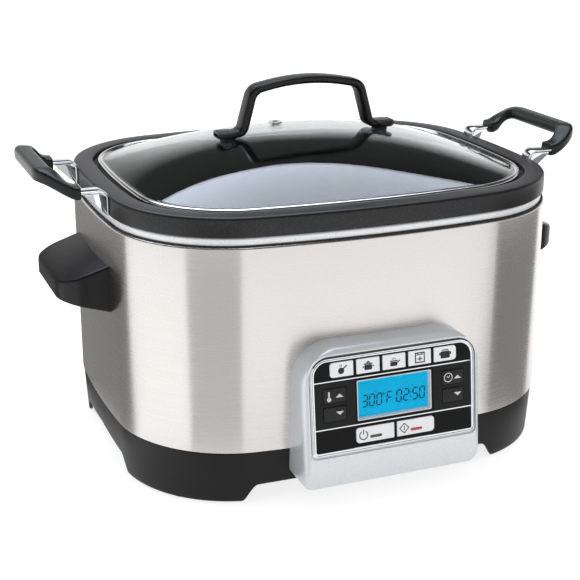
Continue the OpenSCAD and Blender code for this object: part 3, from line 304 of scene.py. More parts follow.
def sideFrame(y, stand):  # frame on the right side face at y: X points out, origin stands that far inside the casing outline
    turn = math.asin(y / outline["sideBow"])
    return shift(halfWidth - outline["sideBow"], seatY) @ Matrix.Rotation(turn, 4, "Z") @ shift(outline["sideBow"] - stand)


flipX = Matrix.Scale(-1, 4, (1, 0, 0))  # right side to left side


# materials

def linear(hexColour):  # sRGB hex to the linear colour that the shader takes
    channels = [int(hexColour[i:i + 2], 16) / 255 for i in (1, 3, 5)]
    return [c / 12.92 if c < 0.04045 else ((c + 0.055) / 1.055) ** 2.4 for c in channels] + [1]


def addNode(tree, kind, values=None, links=None, **settings):
    node = tree.nodes.new("ShaderNode" + kind)
    for setting, value in settings.items():
        setattr(node, setting, value)
    for socket, value in (values or {}).items():
        node.inputs[socket].default_value = value
    for socket, source in (links or {}).items():
        tree.links.new(source, node.inputs[socket])
    return node


def newMaterial(name, colour, **values):
    material = bpy.data.materials.new(name)
    material.use_nodes = True
    shader = material.node_tree.nodes["Principled BSDF"]
    shader.inputs["Base Color"].default_value = linear(colour)
    for socket, value in values.items():
        shader.inputs[socket.replace("_", " ")].default_value = value
    return material, material.node_tree, shader


def grain(tree, size, stretch=(1, 1, 1), detail=3, rough=0.6):  # noise whose grains measure size (mm) times stretch
    place = addNode(tree, "TexCoord")
    scaled = addNode(tree, "Mapping", {"Scale": [1 / (size * mm * s) for s in stretch]}, {"Vector": place.outputs["Object"]})
    return addNode(tree, "TexNoise", {"Scale": 1, "Detail": detail, "Roughness": rough}, {"Vector": scaled.outputs["Vector"]})


def spread(tree, source, low, high, start=0.3, end=0.7):  # maps a pattern onto a range of values
    return addNode(tree, "MapRange", {"From Min": start, "From Max": end, "To Min": low, "To Max": high},
                   {"Value": source.outputs[0]}).outputs["Result"]


def blendColour(tree, factor, first, second):
    mix = addNode(tree, "Mix", data_type="RGBA")
    tree.links.new(factor, mix.inputs[0])
    mix.inputs[6].default_value = linear(first)
    mix.inputs[7].default_value = linear(second)
    return mix.outputs[2]


def finish(name, colour, dark, rough, metallic=0, size=0.6, stretch=(1, 1, 1), relief=0.02, roughSpread=0.06, **values):
    # a surface whose colour and gloss vary with a fine grain, which also stands in relief (mm)
    material, tree, shader = newMaterial(name, colour, Metallic=metallic, **values)
    pattern = grain(tree, size, stretch)
    tree.links.new(blendColour(tree, spread(tree, pattern, 0, 1), dark, colour), shader.inputs["Base Color"])
    tree.links.new(spread(tree, pattern, rough - roughSpread, rough + roughSpread), shader.inputs["Roughness"])
    bump = addNode(tree, "Bump", {"Strength": 0.5, "Distance": relief * mm}, {"Height": pattern.outputs[0]})
    tree.links.new(bump.outputs["Normal"], shader.inputs["Normal"])
    return material


def brushedSteel(name, colour, dark, rough, along, across):
    # stainless sheet brushed round the casing: highlights spread up and down, across the brush lines
    material = finish(name, colour, dark, rough, 1, across, (along / across, along / across, 1), 0.003, 0.04,
                      Anisotropic=0.85, Anisotropic_Rotation=0.25)
    tree = material.node_tree
    tangent = addNode(tree, "Tangent", direction_type="RADIAL", axis="Z")
    tree.links.new(tangent.outputs["Tangent"], tree.nodes["Principled BSDF"].inputs["Tangent"])
    return material


def makeNonstick():  # non-stick coating on cast aluminium: a satin dark film with pale mineral specks
    material, tree, shader = newMaterial("nonstick_coating", "#181617", Specular_IOR_Level=0.36)
    place = addNode(tree, "TexCoord")
    specks = addNode(tree, "TexVoronoi", {"Scale": 1 / (1.5 * mm)}, {"Vector": place.outputs["Object"]})  # one speck each 1.5 mm
    fleck = addNode(tree, "MapRange", {"From Min": 0.16, "From Max": 0.26, "To Min": 1, "To Max": 0}, {"Value": specks.outputs["Distance"]})
    tree.links.new(blendColour(tree, fleck.outputs["Result"], "#191718", "#3a3634"), shader.inputs["Base Color"])
    pebble = grain(tree, 1.1)
    bump = addNode(tree, "Bump", {"Strength": 0.3, "Distance": 0.03 * mm}, {"Height": pebble.outputs[0]})
    tree.links.new(bump.outputs["Normal"], shader.inputs["Normal"])
    tree.links.new(spread(tree, pebble, 0.3, 0.42), shader.inputs["Roughness"])
    return material


def makeLidGlass():  # tempered soda-lime glass: clear, with a grey cast and a clean gloss
    material, tree, shader = newMaterial("tempered_glass", "#e9f0f0", IOR=1.52, Transmission_Weight=1)
    tree.links.new(spread(tree, grain(tree, 30), 0.005, 0.03), shader.inputs["Roughness"])
    return material


def makeDisplayGlass():  # acrylic window with an anti-glare layer: hardly any reflection
    material, tree, shader = newMaterial("display_window", "#f4fbfd", IOR=1.1, Transmission_Weight=1)
    tree.links.new(spread(tree, grain(tree, 8), 0.03, 0.07), shader.inputs["Roughness"])
    return material


def makeBacklight():  # diffuser of a lit display: even blue with faint paler clouds
    material, tree, shader = newMaterial("lit_diffuser", "#00384a", Roughness=0.5, Specular_IOR_Level=0.1, Emission_Strength=0.9)
    cloud = spread(tree, grain(tree, 22, detail=1), 0, 1)
    glow = blendColour(tree, cloud, "#00aadc", "#00b6e6")
    tree.links.new(glow, shader.inputs["Emission Color"])
    return material


looks = {
    # brushed 430 stainless sheet: fine level streaks, a warm grey with broad soft reflections
    "casingSteel": brushedSteel("brushed_stainless", "#d9d6d3", "#cecbc8", 0.26, 60, 0.4),
    # bright rolled stainless ring: smooth with faint roll marks
    "rolledSteel": finish("rolled_stainless", "#dcdcda", "#cfcfcd", 0.13, 1, 0.5, (30, 30, 1), 0.004, 0.03),
    # anodised bright trim: pale and even
    "trimRing": finish("bright_trim_ring", "#f8f8f8", "#f0f1f2", 0.3, 0.15, 2, relief=0.001, roughSpread=0.04),
    # decorative chrome on brass or ABS: mirror gloss
    "chrome": finish("chrome_plate", "#e3e5e7", "#dadcde", 0.06, 1, 6, relief=0.004, roughSpread=0.02),
    # silver paint on ABS: fine metal flake under a satin film
    "silverPaint": finish("silver_paint", "#dfe0e1", "#d5d7d9", 0.3, 0.34, 0.35, relief=0.003, roughSpread=0.05,
                          Coat_Weight=0.2, Coat_Roughness=0.2),
    # polypropylene moulded against a fine spark texture: satin black with a warm cast
    "baseBlack": finish("moulded_black", "#131113", "#0e0c0d", 0.42, 0, 0.7, relief=0.02, Specular_IOR_Level=0.25),
    "handleBlack": finish("phenolic_black", "#110f10", "#0c0a0b", 0.34, 0, 0.9, relief=0.015, Specular_IOR_Level=0.3),
    # phenolic resin grip: dark green-black, waxy gloss
    "gripGreen": finish("phenolic_green_black", "#121813", "#0c110e", 0.33, 0, 1.2, relief=0.012, Specular_IOR_Level=0.32),
    "rubber": finish("black_rubber", "#1c1b1c", "#161516", 0.62, 0, 0.5, relief=0.02),
    "nonstick": makeNonstick(),
    "lidGlass": makeLidGlass(),
    # gloss black acrylic behind the keys
    "glossBlack": finish("gloss_black_acrylic", "#0a090a", "#070707", 0.07, 0, 10, relief=0.002, roughSpread=0.03, Specular_IOR_Level=0.12),
    # matt charcoal film under the arrow keys
    "charcoalFilm": finish("charcoal_film", "#100e0e", "#0c0b0b", 0.45, 0, 0.4, relief=0.01, Specular_IOR_Level=0.22),
    "keyWhite": finish("white_key_plastic", "#f4f4f3", "#eeeeee", 0.32, 0, 0.5, relief=0.004),
    "keyBlack": finish("charcoal_key_plastic", "#191617", "#141213", 0.38, 0, 0.5, relief=0.008, Specular_IOR_Level=0.3),
    "printInk": finish("screen_print_ink", "#0f0e0e", "#0b0a0a", 0.55, 0, 0.3, relief=0.003),
    "paleInk": finish("pale_print_ink", "#dcdbd8", "#d0cfcc", 0.5, 0, 0.3, relief=0.003),
    "displayGlass": makeDisplayGlass(),
    "backlight": makeBacklight(),
    "displayInk": finish("display_segments", "#0d3f50", "#0b3644", 0.4, 0, 0.5, relief=0.001, Specular_IOR_Level=0.1),
    "greenLens": finish("smoked_green_lens", "#3a4126", "#333a22", 0.25, 0, 0.6, relief=0.003, Coat_Weight=0.5),
    "redLens": finish("lit_red_lens", "#c8262e", "#b8202a", 0.25, 0, 0.6, relief=0.003, Coat_Weight=0.5),
    # zinc plated steel screws
    "zinc": finish("zinc_plated_steel", "#b9bcc0", "#a7aaae", 0.3, 1, 0.8, relief=0.005),
    "galvanised": finish("galvanised_sheet", "#b0b3b6", "#93979b", 0.38, 1, 6, relief=0.01),
    # spun aluminium well: satin with level drawing marks
    "wellAluminium": finish("drawn_aluminium", "#c4c6c8", "#b0b3b5", 0.34, 1, 0.5, (40, 40, 1), 0.006),
    "castAluminium": finish("cast_aluminium", "#a4a6a8", "#8f9193", 0.48, 1, 1.6, relief=0.06),
    "oxidisedSteel": finish("oxidised_steel", "#6b6660", "#54504b", 0.45, 1, 1.2, relief=0.02),
    "springSteel": finish("drawn_spring_steel", "#a3a6a9", "#8c8f92", 0.28, 1, 0.6, relief=0.004),
    "mineralWool": finish("mineral_wool", "#d8d2bd", "#b9b197", 0.95, 0, 2.2, (1, 1, 0.3), 0.5),
    "circuitBoard": finish("solder_mask", "#1f5a35", "#194a2c", 0.35, 0, 1.4, relief=0.02),
    "darkPlastic": finish("moulded_relay_plastic", "#20242c", "#1a1d24", 0.4, 0, 0.6, relief=0.01),
    "copper": finish("varnished_copper", "#b87740", "#9c6231", 0.35, 0.8, 0.5, (1, 1, 0.2), 0.05),
    "silicone": finish("silicone_sleeve", "#a8342b", "#942c25", 0.5, 0, 0.6, relief=0.01),
    "vinyl": finish("ribbon_vinyl", "#9a9da1", "#8b8e92", 0.45, 0, 0.9, (0.4, 6, 6), 0.05),
}
print("materials made:", len(looks))


def dress(piece, name, look, body, nodes=(), angle=30):  # finish, smoothing, body and what it stands for
    piece.name = piece.data.name = name
    if look:
        piece.data.materials.clear()
        piece.data.materials.append(looks[look])
    choose(piece)
    bpy.ops.object.shade_smooth_by_angle(angle=math.radians(angle))
    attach(piece, body)
    if nodes:
        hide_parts(*nodes)
    return piece


def seat(piece):  # from the casing's middle to the model's frame
    piece.data.transform(shift(0, seatY))
    return piece


# camera

view = {
    "place": (-386.94, -922.05, 459.99),
    "target": (-12.91, 14.756, 111.73),
    "roll": 0.17,  # degrees
    "lens": 78.9,  # on a 36 mm sensor
}
bpy.ops.object.camera_add()
camera = bpy.context.object
camera.data.lens = view["lens"]
camera.data.sensor_width = 36
camera.data.clip_end = 50
aim = (Vector(view["target"]) - Vector(view["place"])).to_track_quat("-Z", "Y").to_matrix().to_4x4()
camera.matrix_world = shift(*view["place"]) @ aim @ Matrix.Rotation(math.radians(view["roll"]), 4, "Z")
bpy.context.scene.camera = camera
bpy.context.scene.view_settings.view_transform = "Standard"

# base, casing and rim stack

base = {
    "toe": 3, "draw": 0.6, "wall": 3, "stand": 1.6,  # inset at the foot and at the top, wall, clearance under it
    "frontHalf": 103, "frontArch": 18.5, "sideHalf": 62, "sideArch": 18,  # half widths and heights of the arches
    "rise": 4, "legOut": 2.5, "legIn": 6,  # rise of an arch's crown, reach of its legs outside and inside the half width
    "lip": (1.1, 3.3), "lipZ": (38, 49),  # insets and heights of the lip behind the casing
    "ledge": 22.6, "ledgeThick": 3,  # inset and thickness of the ledge over the bottom cover
    "padRadius": 11, "socket": (11.2, 15.8),  # rubber pad, and the bore and outside of its socket
}
baseTop = low("outer_casing").z


def smoothStep(a, b, value):
    t = min(1, max(0, (value - a) / (b - a)))
    return t * t * (3 - 2 * t)


def softMin(a, b, reach):  # the lower of two heights, with a soft corner between them
    near = max(reach - abs(a - b), 0) / reach
    return min(a, b) - near * near * reach / 4


def archLevel(across, half, height):  # steep legs and a crown that rises gently to the middle
    foot = base["stand"] - 0.6
    leg = foot + (half + base["legOut"] - abs(across)) * (height - base["rise"] - foot) / (base["legOut"] + base["legIn"])
    crown = height - base["rise"] * abs(across) / (half - base["legIn"])
    return -softMin(-softMin(leg, crown, 5), -base["stand"], 2)


def footLevel(x, y):  # height of the base's lower edge
    return max(archLevel(x, base["frontHalf"], base["frontArch"]), archLevel(y, base["sideHalf"], base["sideArch"]))


def outward(x, y):  # unit normal of the plan outline near a point
    px, py = abs(x), abs(y)
    side = math.atan2(py, px - (halfWidth - outline["sideBow"]))
    front = math.atan2(py - (halfDepth - outline["frontBow"]), px)
    turn = side if side < sideTurn else front if front > frontTurn else math.atan2(py - cornerCentre.y, px - cornerCentre.x)
    return Vector((math.copysign(math.cos(turn), x), math.copysign(math.sin(turn), y), 0))


def makeBase():
    draft = (base["toe"] - base["draw"]) / (baseTop - base["stand"])
    levels = [baseTop - 1 - (baseTop - base["stand"] - 3) * i / 9 for i in range(10)]
    outer = [(base["draw"] + draft * (baseTop - z), z) for z in levels]
    inner = [(a + base["wall"], z) for a, z in reversed(outer)]
    profile = [(base["draw"] + 1, baseTop)] + outer + [(base["toe"] + 0.3, base["stand"] + 0.8), (base["toe"] + 1.2, base["stand"]),
              (base["toe"] + base["wall"], base["stand"])] + inner + [(base["draw"] + base["wall"], baseTop)]
    shell = sweepAround("base", profile, steps=(30, 90, 12))
    for vert in shell.data.vertices:  # the arches: the wall is squeezed upwards and follows its own draft
        x, y, z = vert.co / mm
        level = baseTop - (baseTop - z) * (baseTop - footLevel(x, y)) / (baseTop - base["stand"])
        place = Vector((x, y, 0)) + outward(x, y) * draft * (level - z)
        vert.co = Vector((place.x, place.y, level)) * mm
    (lipOut, lipIn), (lipLow, lipTop) = base["lip"], base["lipZ"]
    plain = (6, 24, 8)
    lip = sweepAround("lip", roundCorners([(lipOut, lipLow, 0), (lipOut, lipTop, 0.5), (lipIn, lipTop, 0.5), (lipIn, lipLow, 0)]), steps=plain)
    coverTop = high("bottom_cover").z
    ledgeTop = coverTop + base["ledgeThick"]
    ledge = sweepAround("ledge", [(lipIn, coverTop), (lipIn, ledgeTop), (base["ledge"], ledgeTop), (base["ledge"], coverTop)], steps=plain)
    footX, footY = high("foot_pads").x - base["padRadius"], high("foot_pads").y - base["padRadius"] - seatY
    bore, outside = base["socket"]
    foot = roundCorners([(bore, base["stand"], 0), (outside, base["stand"], 1), (outside, coverTop, 0), (bore, coverTop, 0)])
    first = turnRound("socket", foot, 40, 1e-6)
    sockets = [copied(first, "socket", shift(sx * footX, sy * footY)) for sx in (-1, 1) for sy in (-1, 1)]
    bpy.data.objects.remove(first)
    return dress(seat(joined("base", [shell, lip, ledge] + sockets)), "base_shell", "baseBlack", "base", ["base_housing"])


makeBase()

casing = {"sheet": 0.8, "fold": 6, "topRound": 1.6}
casingTop = high("outer_casing").z
dress(seat(sweepAround("casing", roundCorners([
    (0, baseTop, 0.3), (0, casingTop, casing["topRound"]), (casing["fold"], casingTop, 0.2),
    (casing["fold"], casingTop - casing["sheet"], 0.2), (casing["sheet"], casingTop - casing["sheet"], 0.8),
    (casing["sheet"], baseTop, 0.3)]))),
    "casing_band", "casingSteel", "base", ["outer_casing"])

gasketTop = high("casing_gasket").z
dress(seat(sweepAround("gasket", roundCorners([
    (1.2, casingTop, 0), (1.2, gasketTop, 0.35), (6, gasketTop, 0), (6, casingTop, 0)]))),
    "rim_gasket", "rubber", "base", ["casing_gasket"])

trim = {"inset": 2.9, "wall": 1.5, "width": 16.6, "crown": 1.8}
trimTop = high("trim_ring").z
trimInner = trim["inset"] + trim["width"]
dress(seat(sweepAround("trim", roundCorners([
    (trim["inset"], gasketTop, 0.3), (trim["inset"], trimTop, trim["crown"]), (trimInner, trimTop, 0.8), (trimInner, gasketTop + 1, 0.2),
    (trimInner - 1.5, gasketTop + 1, 0.2), (trimInner - 1.5, trimTop - 1, 0.3), (trim["inset"] + trim["wall"], trimTop - 1, 0.4),
    (trim["inset"] + trim["wall"], gasketTop, 0.3)]))),
    "bright_ring", "trimRing", "base", ["trim_ring"])


well = {"flange": 4.6, "toe": 9, "floorInset": 48, "circle": 84, "wall": 1}


def makeWell():
    floorTop = low("heater_plate").z
    wallAt, flangeZ = trimInner + 1, gasketTop + 1
    profile = roundCorners([(well["flange"], flangeZ, 0), (wallAt, flangeZ, 1.5), (wallAt, floorTop, well["toe"]),
                            (well["floorInset"], floorTop, 0)], 6)
    piece = sweepAround("well", profile, closed=False)
    choose(piece)
    bpy.ops.object.mode_set(mode="EDIT")
    bpy.ops.mesh.select_all(action="DESELECT")
    bpy.ops.mesh.primitive_circle_add(vertices=184, radius=well["circle"] * mm, location=(0, 0, floorTop * mm))  # under the heating plate
    pick(piece, lambda v: abs(v.co.z / mm - floorTop) < 0.01 and len(v.link_faces) < 4 and v.is_boundary or v.is_wire)
    bpy.ops.mesh.bridge_edge_loops()
    closeMesh()
    floor = max(piece.data.polygons, key=lambda p: p.area if abs(p.center.z / mm - floorTop) < 0.1 else 0)
    modify(piece, "SOLIDIFY", thickness=well["wall"] * mm, offset=-1 if floor.normal.z > 0 else 1)
    return dress(seat(piece), "inner_well", "wellAluminium", "base", ["heating_well"])


makeWell()
print("base, casing and well made")

# pot

pot = {"rimEdge": 2.4, "skirtInset": 1, "skirt": 3, "rim": 15.5, "ledge": 10.5, "wall": 3, "floor": 4, "toe": 14, "capInset": 90}


def makePot():
    skirtLow, rimTop, potLow = high("trim_ring").z + 0.3, high("cooking_pot").z, low("cooking_pot").z
    ledgeTop = low("lid_rim").z - 0.3
    a = pot["skirtInset"]
    inner = a + pot["rim"] + pot["ledge"]
    outer = inner - pot["wall"]
    profile = roundCorners([
        (pot["capInset"], potLow + pot["floor"], 0), (inner, potLow + pot["floor"], 13), (inner, ledgeTop, 2),
        (a + pot["rim"], ledgeTop, 1),
        (a + pot["rim"], rimTop, 1.2), (a, rimTop, pot["rimEdge"]), (a, skirtLow, 1.3), (a + pot["skirt"], skirtLow, 1),
        (a + pot["skirt"], rimTop - pot["skirt"], 1), (a + pot["rim"] - pot["skirt"], rimTop - pot["skirt"], 1),
        (a + pot["rim"] - pot["skirt"], ledgeTop - pot["skirt"], 1), (outer, ledgeTop - pot["skirt"], 1),
        (outer, potLow, pot["toe"]), (pot["capInset"], potLow, 0)])
    piece = sweepAround("pot", profile, closed=False)
    capLoop(piece, potLow + pot["floor"], pot["capInset"])
    capLoop(piece, potLow, pot["capInset"])
    return dress(seat(piece), "pot_body", "nonstick", "pot", ["cooking_pot"])


makePot()

bracket = {"y": 49, "width": 13, "sheet": 2, "reach": 27, "rise": 5.6, "gusset": 1.2, "gussetReach": 18, "bend": 4.5}


def bracketFrames():  # where the four brackets stand on the skirt, those on the left mirrored
    right = [sideFrame(y, pot["skirtInset"]) for y in (bracket["y"], -bracket["y"])]
    return right + [flipX @ place for place in right]


def makeBrackets():
    bottom = high("trim_ring").z + 1.3
    top = high("cooking_pot").z + bracket["rise"]
    t = bracket["sheet"]
    bend = bracket["bend"]
    reach, gussetReach = bracket["reach"], bracket["gussetReach"]
    strap = roundCorners([(0, bottom, 0), (t, bottom, 0), (t, top - t, bend), (reach, top - t, 0), (reach, top, 0), (0, top, bend + t)], 6)
    sheet = prism("sheet", [(x, -bracket["width"] / 2, z) for x, z in strap], bracket["width"], (0, 1, 0))
    soften(sheet, 0.6, 2, 50)
    parts = [sheet]
    for side in (-1, 1):
        y = side * (bracket["width"] / 2 - bracket["gusset"] / 2) - bracket["gusset"] / 2
        corners = [(t, y, bottom + 1.5), (gussetReach, y, top - t - 1.5), (gussetReach, y, top - t), (t, y, top - t)]
        gusset = prism("gusset", corners, bracket["gusset"], (0, 1, 0))
        soften(gusset, 0.3, 2, 50)
        parts.append(gusset)
    first = joined("bracket", parts)
    twins = [copied(first, "bracket", place) for place in bracketFrames()]
    bpy.data.objects.remove(first)
    return dress(joined("brackets", twins), "pot_handle_brackets", "chrome", "pot", ["pot_brackets"], 35)


makeBrackets()

grip = {"bar": 13.6, "thick": 10.4, "root": 17, "rise": 12.5, "start": 18.5, "bend": 16, "square": 0.5, "sides": 28}


def makeGrips():
    skirtX = halfWidth - pot["skirtInset"]
    barX = high("pot_grip_right").x - grip["bar"] / 2
    endX = skirtX + grip["start"]
    level = high("cooking_pot").z + bracket["rise"] - bracket["sheet"] / 2
    y, r = bracket["y"], grip["bend"]
    arc = [math.radians(a) for a in range(-90, 1, 6)]
    half = [Vector((endX, -y)), Vector((endX + 3, -y)), Vector((endX + 6, -y))]
    half += [Vector((barX - r + r * math.cos(a), -y + r + r * math.sin(a))) for a in arc]
    half += [Vector((barX, -18)), Vector((barX, -9))]
    path = half + [Vector((barX, 0))] + [Vector((p.x, -p.y)) for p in reversed(half)]
    loops = []
    for i, point in enumerate(path):
        heading = (path[min(i + 1, len(path) - 1)] - path[max(i - 1, 0)]).normalized()
        side = Vector((heading.y, -heading.x))
        t = smoothStep(endX + 2, barX, point.x)
        width = grip["root"] + (grip["bar"] - grip["root"]) * t
        loop = []
        for k in range(grip["sides"]):
            angle = math.tau * (k + 0.5) / grip["sides"]
            c = math.copysign(abs(math.cos(angle)) ** grip["square"], math.cos(angle)) * width / 2
            s = math.copysign(abs(math.sin(angle)) ** grip["square"], math.sin(angle)) * grip["thick"] / 2
            loop.append((point.x + side.x * c, point.y + side.y * c, level + grip["rise"] * t + s))
        loops.append(loop)
    right = seat(wrapSheet("grip", loops))
    soften(right, 1, 3, 60)
    left = copied(right, "left", flipX)
    dress(right, "right_grip", "gripGreen", "pot", ["pot_grip_right"], 40)
    dress(left, "left_grip", "gripGreen", "pot", ["pot_grip_left"], 40)


makeGrips()

rivet = {"radius": 3.4, "dome": 1.2, "belowRim": 8.14}
rivetZ = high("cooking_pot").z - rivet["belowRim"]
steepness = (0.3, 0.6, 0.9, 1.2, 1.45, math.pi / 2)
dome = [(0.001, rivet["dome"])] + [(rivet["radius"] * math.sin(a), rivet["dome"] * math.cos(a)) for a in steepness]
firstHead = turnRound("head", dome, 24, 5e-6, closed=False)
outwards = shift(bracket["sheet"], 0, rivetZ) @ Matrix.Rotation(math.pi / 2, 4, "Y")
heads = [copied(firstHead, "head", place @ outwards) for place in bracketFrames()]
bpy.data.objects.remove(firstHead)
dress(joined("heads", heads), "rivet_heads", "chrome", "pot", ["pot_bracket_screws"])
print("pot made")

# lid

lid = {"inset": 20.4, "rimWidth": 4.6, "edge": 27, "dome": 27, "power": 2.3, "glass": 4, "steps": 18}
lidLow, lidRimTop = low("lid_rim").z, high("lid_rim").z
glassEdge = lidLow + 0.8 + lid["glass"]
dress(seat(sweepAround("lidRim", roundCorners([
    (lid["inset"], lidLow, 0.8), (lid["inset"], lidRimTop, 2.2), (lid["inset"] + lid["rimWidth"], lidRimTop, 1.8),
    (lid["inset"] + lid["rimWidth"], lidLow, 0.8)]))),
    "lid_ring", "rolledSteel", "lid", ["lid_rim"])


def makeGlass():
    edge = outlineLoop(lid["edge"])
    loops = [outlineLoop(lid["inset"] + 3, glassEdge), outlineLoop(lid["edge"], glassEdge)]
    for i in range(1, lid["steps"] + 1):  # each loop is drawn in towards the middle and lifted, and turns from the outline to an oval
        k = math.cos(math.pi / 2 * i / lid["steps"])
        loop = []
        for p in edge:
            oval = math.hypot(p.x / (halfWidth - lid["edge"]), p.y / (halfDepth - lid["edge"]))
            share = k * (k * k + (1 - k * k) / oval)
            loop.append((p.x * share, p.y * share, glassEdge + lid["dome"] * (1 - max(k, 0) ** lid["power"])))
        loops.append(loop)
    glass = wrapSheet("glass", loops, capped=False)
    up = max(glass.data.polygons, key=lambda p: p.center.z).normal.z > 0
    modify(glass, "SOLIDIFY", thickness=lid["glass"] * mm, offset=-1 if up else 1)
    return dress(seat(glass), "glass_dome", "lidGlass", "lid", ["lid_glass"], 50)


makeGlass()

handle = {
    "height": 41, "strap": 5.4, "width": 15, "chamfer": 1.7, "foot": 5.2, "footWidth": 20, "footLength": 16,
    "knee": 18, "innerKnee": 5.6, "shoulder": 27.5, "innerShoulder": 5.3, "lift": 7, "rise": 2.2, "crown": 162,
}


def makeLidHandle():
    h = handle
    footZ = low("lid_handle").z
    half = high("lid_handle").x
    knee, shoulder = half - h["knee"], half - h["shoulder"]
    top = footZ + h["height"] + h["strap"]
    outer = [(half, footZ + h["foot"], 0), (knee, footZ + h["foot"], 5), (shoulder, top - h["lift"], 13), (0, top + h["rise"], h["crown"])]
    inner = [(half, footZ, 0), (knee - h["innerKnee"], footZ, 9), (shoulder - h["innerShoulder"], top - h["lift"] - h["strap"] - 0.4, 8),
             (0, top + h["rise"] - h["strap"], h["crown"])]
    lines = []
    for line in (outer, inner):
        lines.append(roundCorners(line + [(-x, z, r) for x, z, r in reversed(line[:-1])], 9))
    loops = []
    for above, below in zip(*lines):  # eight-sided sections with chamfered edges
        c = h["chamfer"]
        share = c / (above - below).length
        y = h["width"] / 2
        section = [(y, share), (y, 1 - share), (y - c, 1), (c - y, 1), (-y, 1 - share), (-y, share), (c - y, 0), (y - c, 0)]
        loops.append([(below.lerp(above, t).x, across, below.lerp(above, t).y) for across, t in section])
    strap = wrapSheet("strap", loops)
    soften(strap, 0.4, 2, 30)
    feet = []
    for side in (-1, 1):
        middleOfFoot = Vector((side * (half - h["footLength"] / 2), 0, footZ))
        foot = prism("foot", [middleOfFoot + p.to_3d() for p in block(0, 0, h["footLength"], h["footWidth"], 5)], h["foot"] - 0.4)
        soften(foot, 1.4, 3, 50)
        feet.append(foot)
    return dress(seat(joined("handle", [strap] + feet)), "lid_grip", "handleBlack", "lid", ["lid_handle"], 28)


makeLidHandle()
print("lid made")

# side handles

sideHandle = {
    "reach": 36, "root": 50, "tip": 49, "corner": 20,  # how far it stands out, half widths at the casing and at the tip
    "top": 167, "fall": 12, "rootHeight": 36.5, "end": 13.2, "wall": 3.2, "edge": 2.4,
}


def makeSideHandles():
    s = sideHandle
    sideCentre = halfWidth - outline["sideBow"]
    tip = halfWidth + s["reach"]
    rows = [(s["reach"] - s["corner"]) * i / 9 / s["reach"] for i in range(9)]
    rows += [1 - s["corner"] / s["reach"] * (1 - math.sin(math.radians(a))) for a in range(0, 91, 9)]
    loops = []
    for out in rows:  # upright sections from the casing to the tip, rounded at the tip
        rest = (1 - out) * s["reach"]
        half = s["root"] + (s["tip"] - s["root"]) * out
        if rest < s["corner"]:
            half -= s["corner"] - math.sqrt(s["corner"] ** 2 - (s["corner"] - rest) ** 2)
        drop = s["edge"] - math.sqrt(s["edge"] ** 2 - (s["edge"] - rest) ** 2) if rest < s["edge"] else 0
        top = s["top"] - s["fall"] * out - drop
        bottom = s["top"] - s["rootHeight"] + (s["rootHeight"] - s["fall"] - s["end"]) * out + drop * 0.5
        loops.append([((sideCentre + math.sqrt(outline["sideBow"] ** 2 - p.x ** 2)) * (1 - out) + tip * out, p.x, p.y)
                      for p in tab(half, bottom, top, s["edge"], 1.2, 6)])
    right = wrapSheet("handle", loops)
    # the hollow for the fingers, open below, its ceiling level with the top
    pocket = []
    wall, corner = s["wall"], s["corner"] - s["wall"]
    for lift, shrink in ((None, 0), (-3, 0), (0, 2)):
        inner, outerX = halfWidth + 7 + shrink, halfWidth + s["reach"] - wall - 0.8 - shrink
        plan = roundCorners([(inner, shrink - s["root"] + wall, 6), (outerX, shrink - s["tip"] + wall, corner),
                             (outerX, s["tip"] - wall - shrink, corner), (inner, s["root"] - wall - shrink, 6)], 8)
        ceiling = s["top"] - wall - 0.8 + (lift or 0)
        pocket.append([(x, y, 90 if lift is None else ceiling - s["fall"] * (x - halfWidth) / s["reach"]) for x, y in plan])
    cutWith(right, wrapSheet("pocket", pocket))
    seat(right)
    left = copied(right, "left", flipX)
    dress(right, "right_side_handle", "handleBlack", "base", ["side_handle_right"])
    dress(left, "left_side_handle", "handleBlack", "base", ["side_handle_left"])


makeSideHandles()
print("side handles made")

# control panel, drawn flat: X across, Y up the face, Z out of it

panel = {
    "lean": 6.92, "out": 28.5, "foot": 42,  # degrees, stand in front of the casing, height of the face's foot
    "half": 71.5, "z0": 19.5, "z1": 126.5, "topRadius": 29, "lowRadius": 8,  # the housing where it leaves the casing
    "fasciaHalf": 63, "s0": 8.6, "s1": 75.6, "chin": 17, "rim": 4.2, "shoulder": 9,
    "trim": 3.6, "trimTop": 13.6, "trimLow": 4.6, "line": 0.9,
}
lean = math.radians(panel["lean"])
face = shift(0, seatY - halfDepth - panel["out"], panel["foot"]) @ Matrix.Rotation(math.pi / 2 - lean, 4, "X")
lineAt = (panel["s0"] + 17.2, panel["s1"] - 14.4)  # the two bright lines on the face
middle = (lineAt[0] + lineAt[1]) / 2


def onPanel(piece):
    piece.data.transform(face)
    return piece


def faceTab(grow, topRadius, lowRadius, steps=8):
    return tab(panel["fasciaHalf"] + grow, panel["s0"] - grow, panel["s1"] + grow, topRadius, lowRadius, steps)


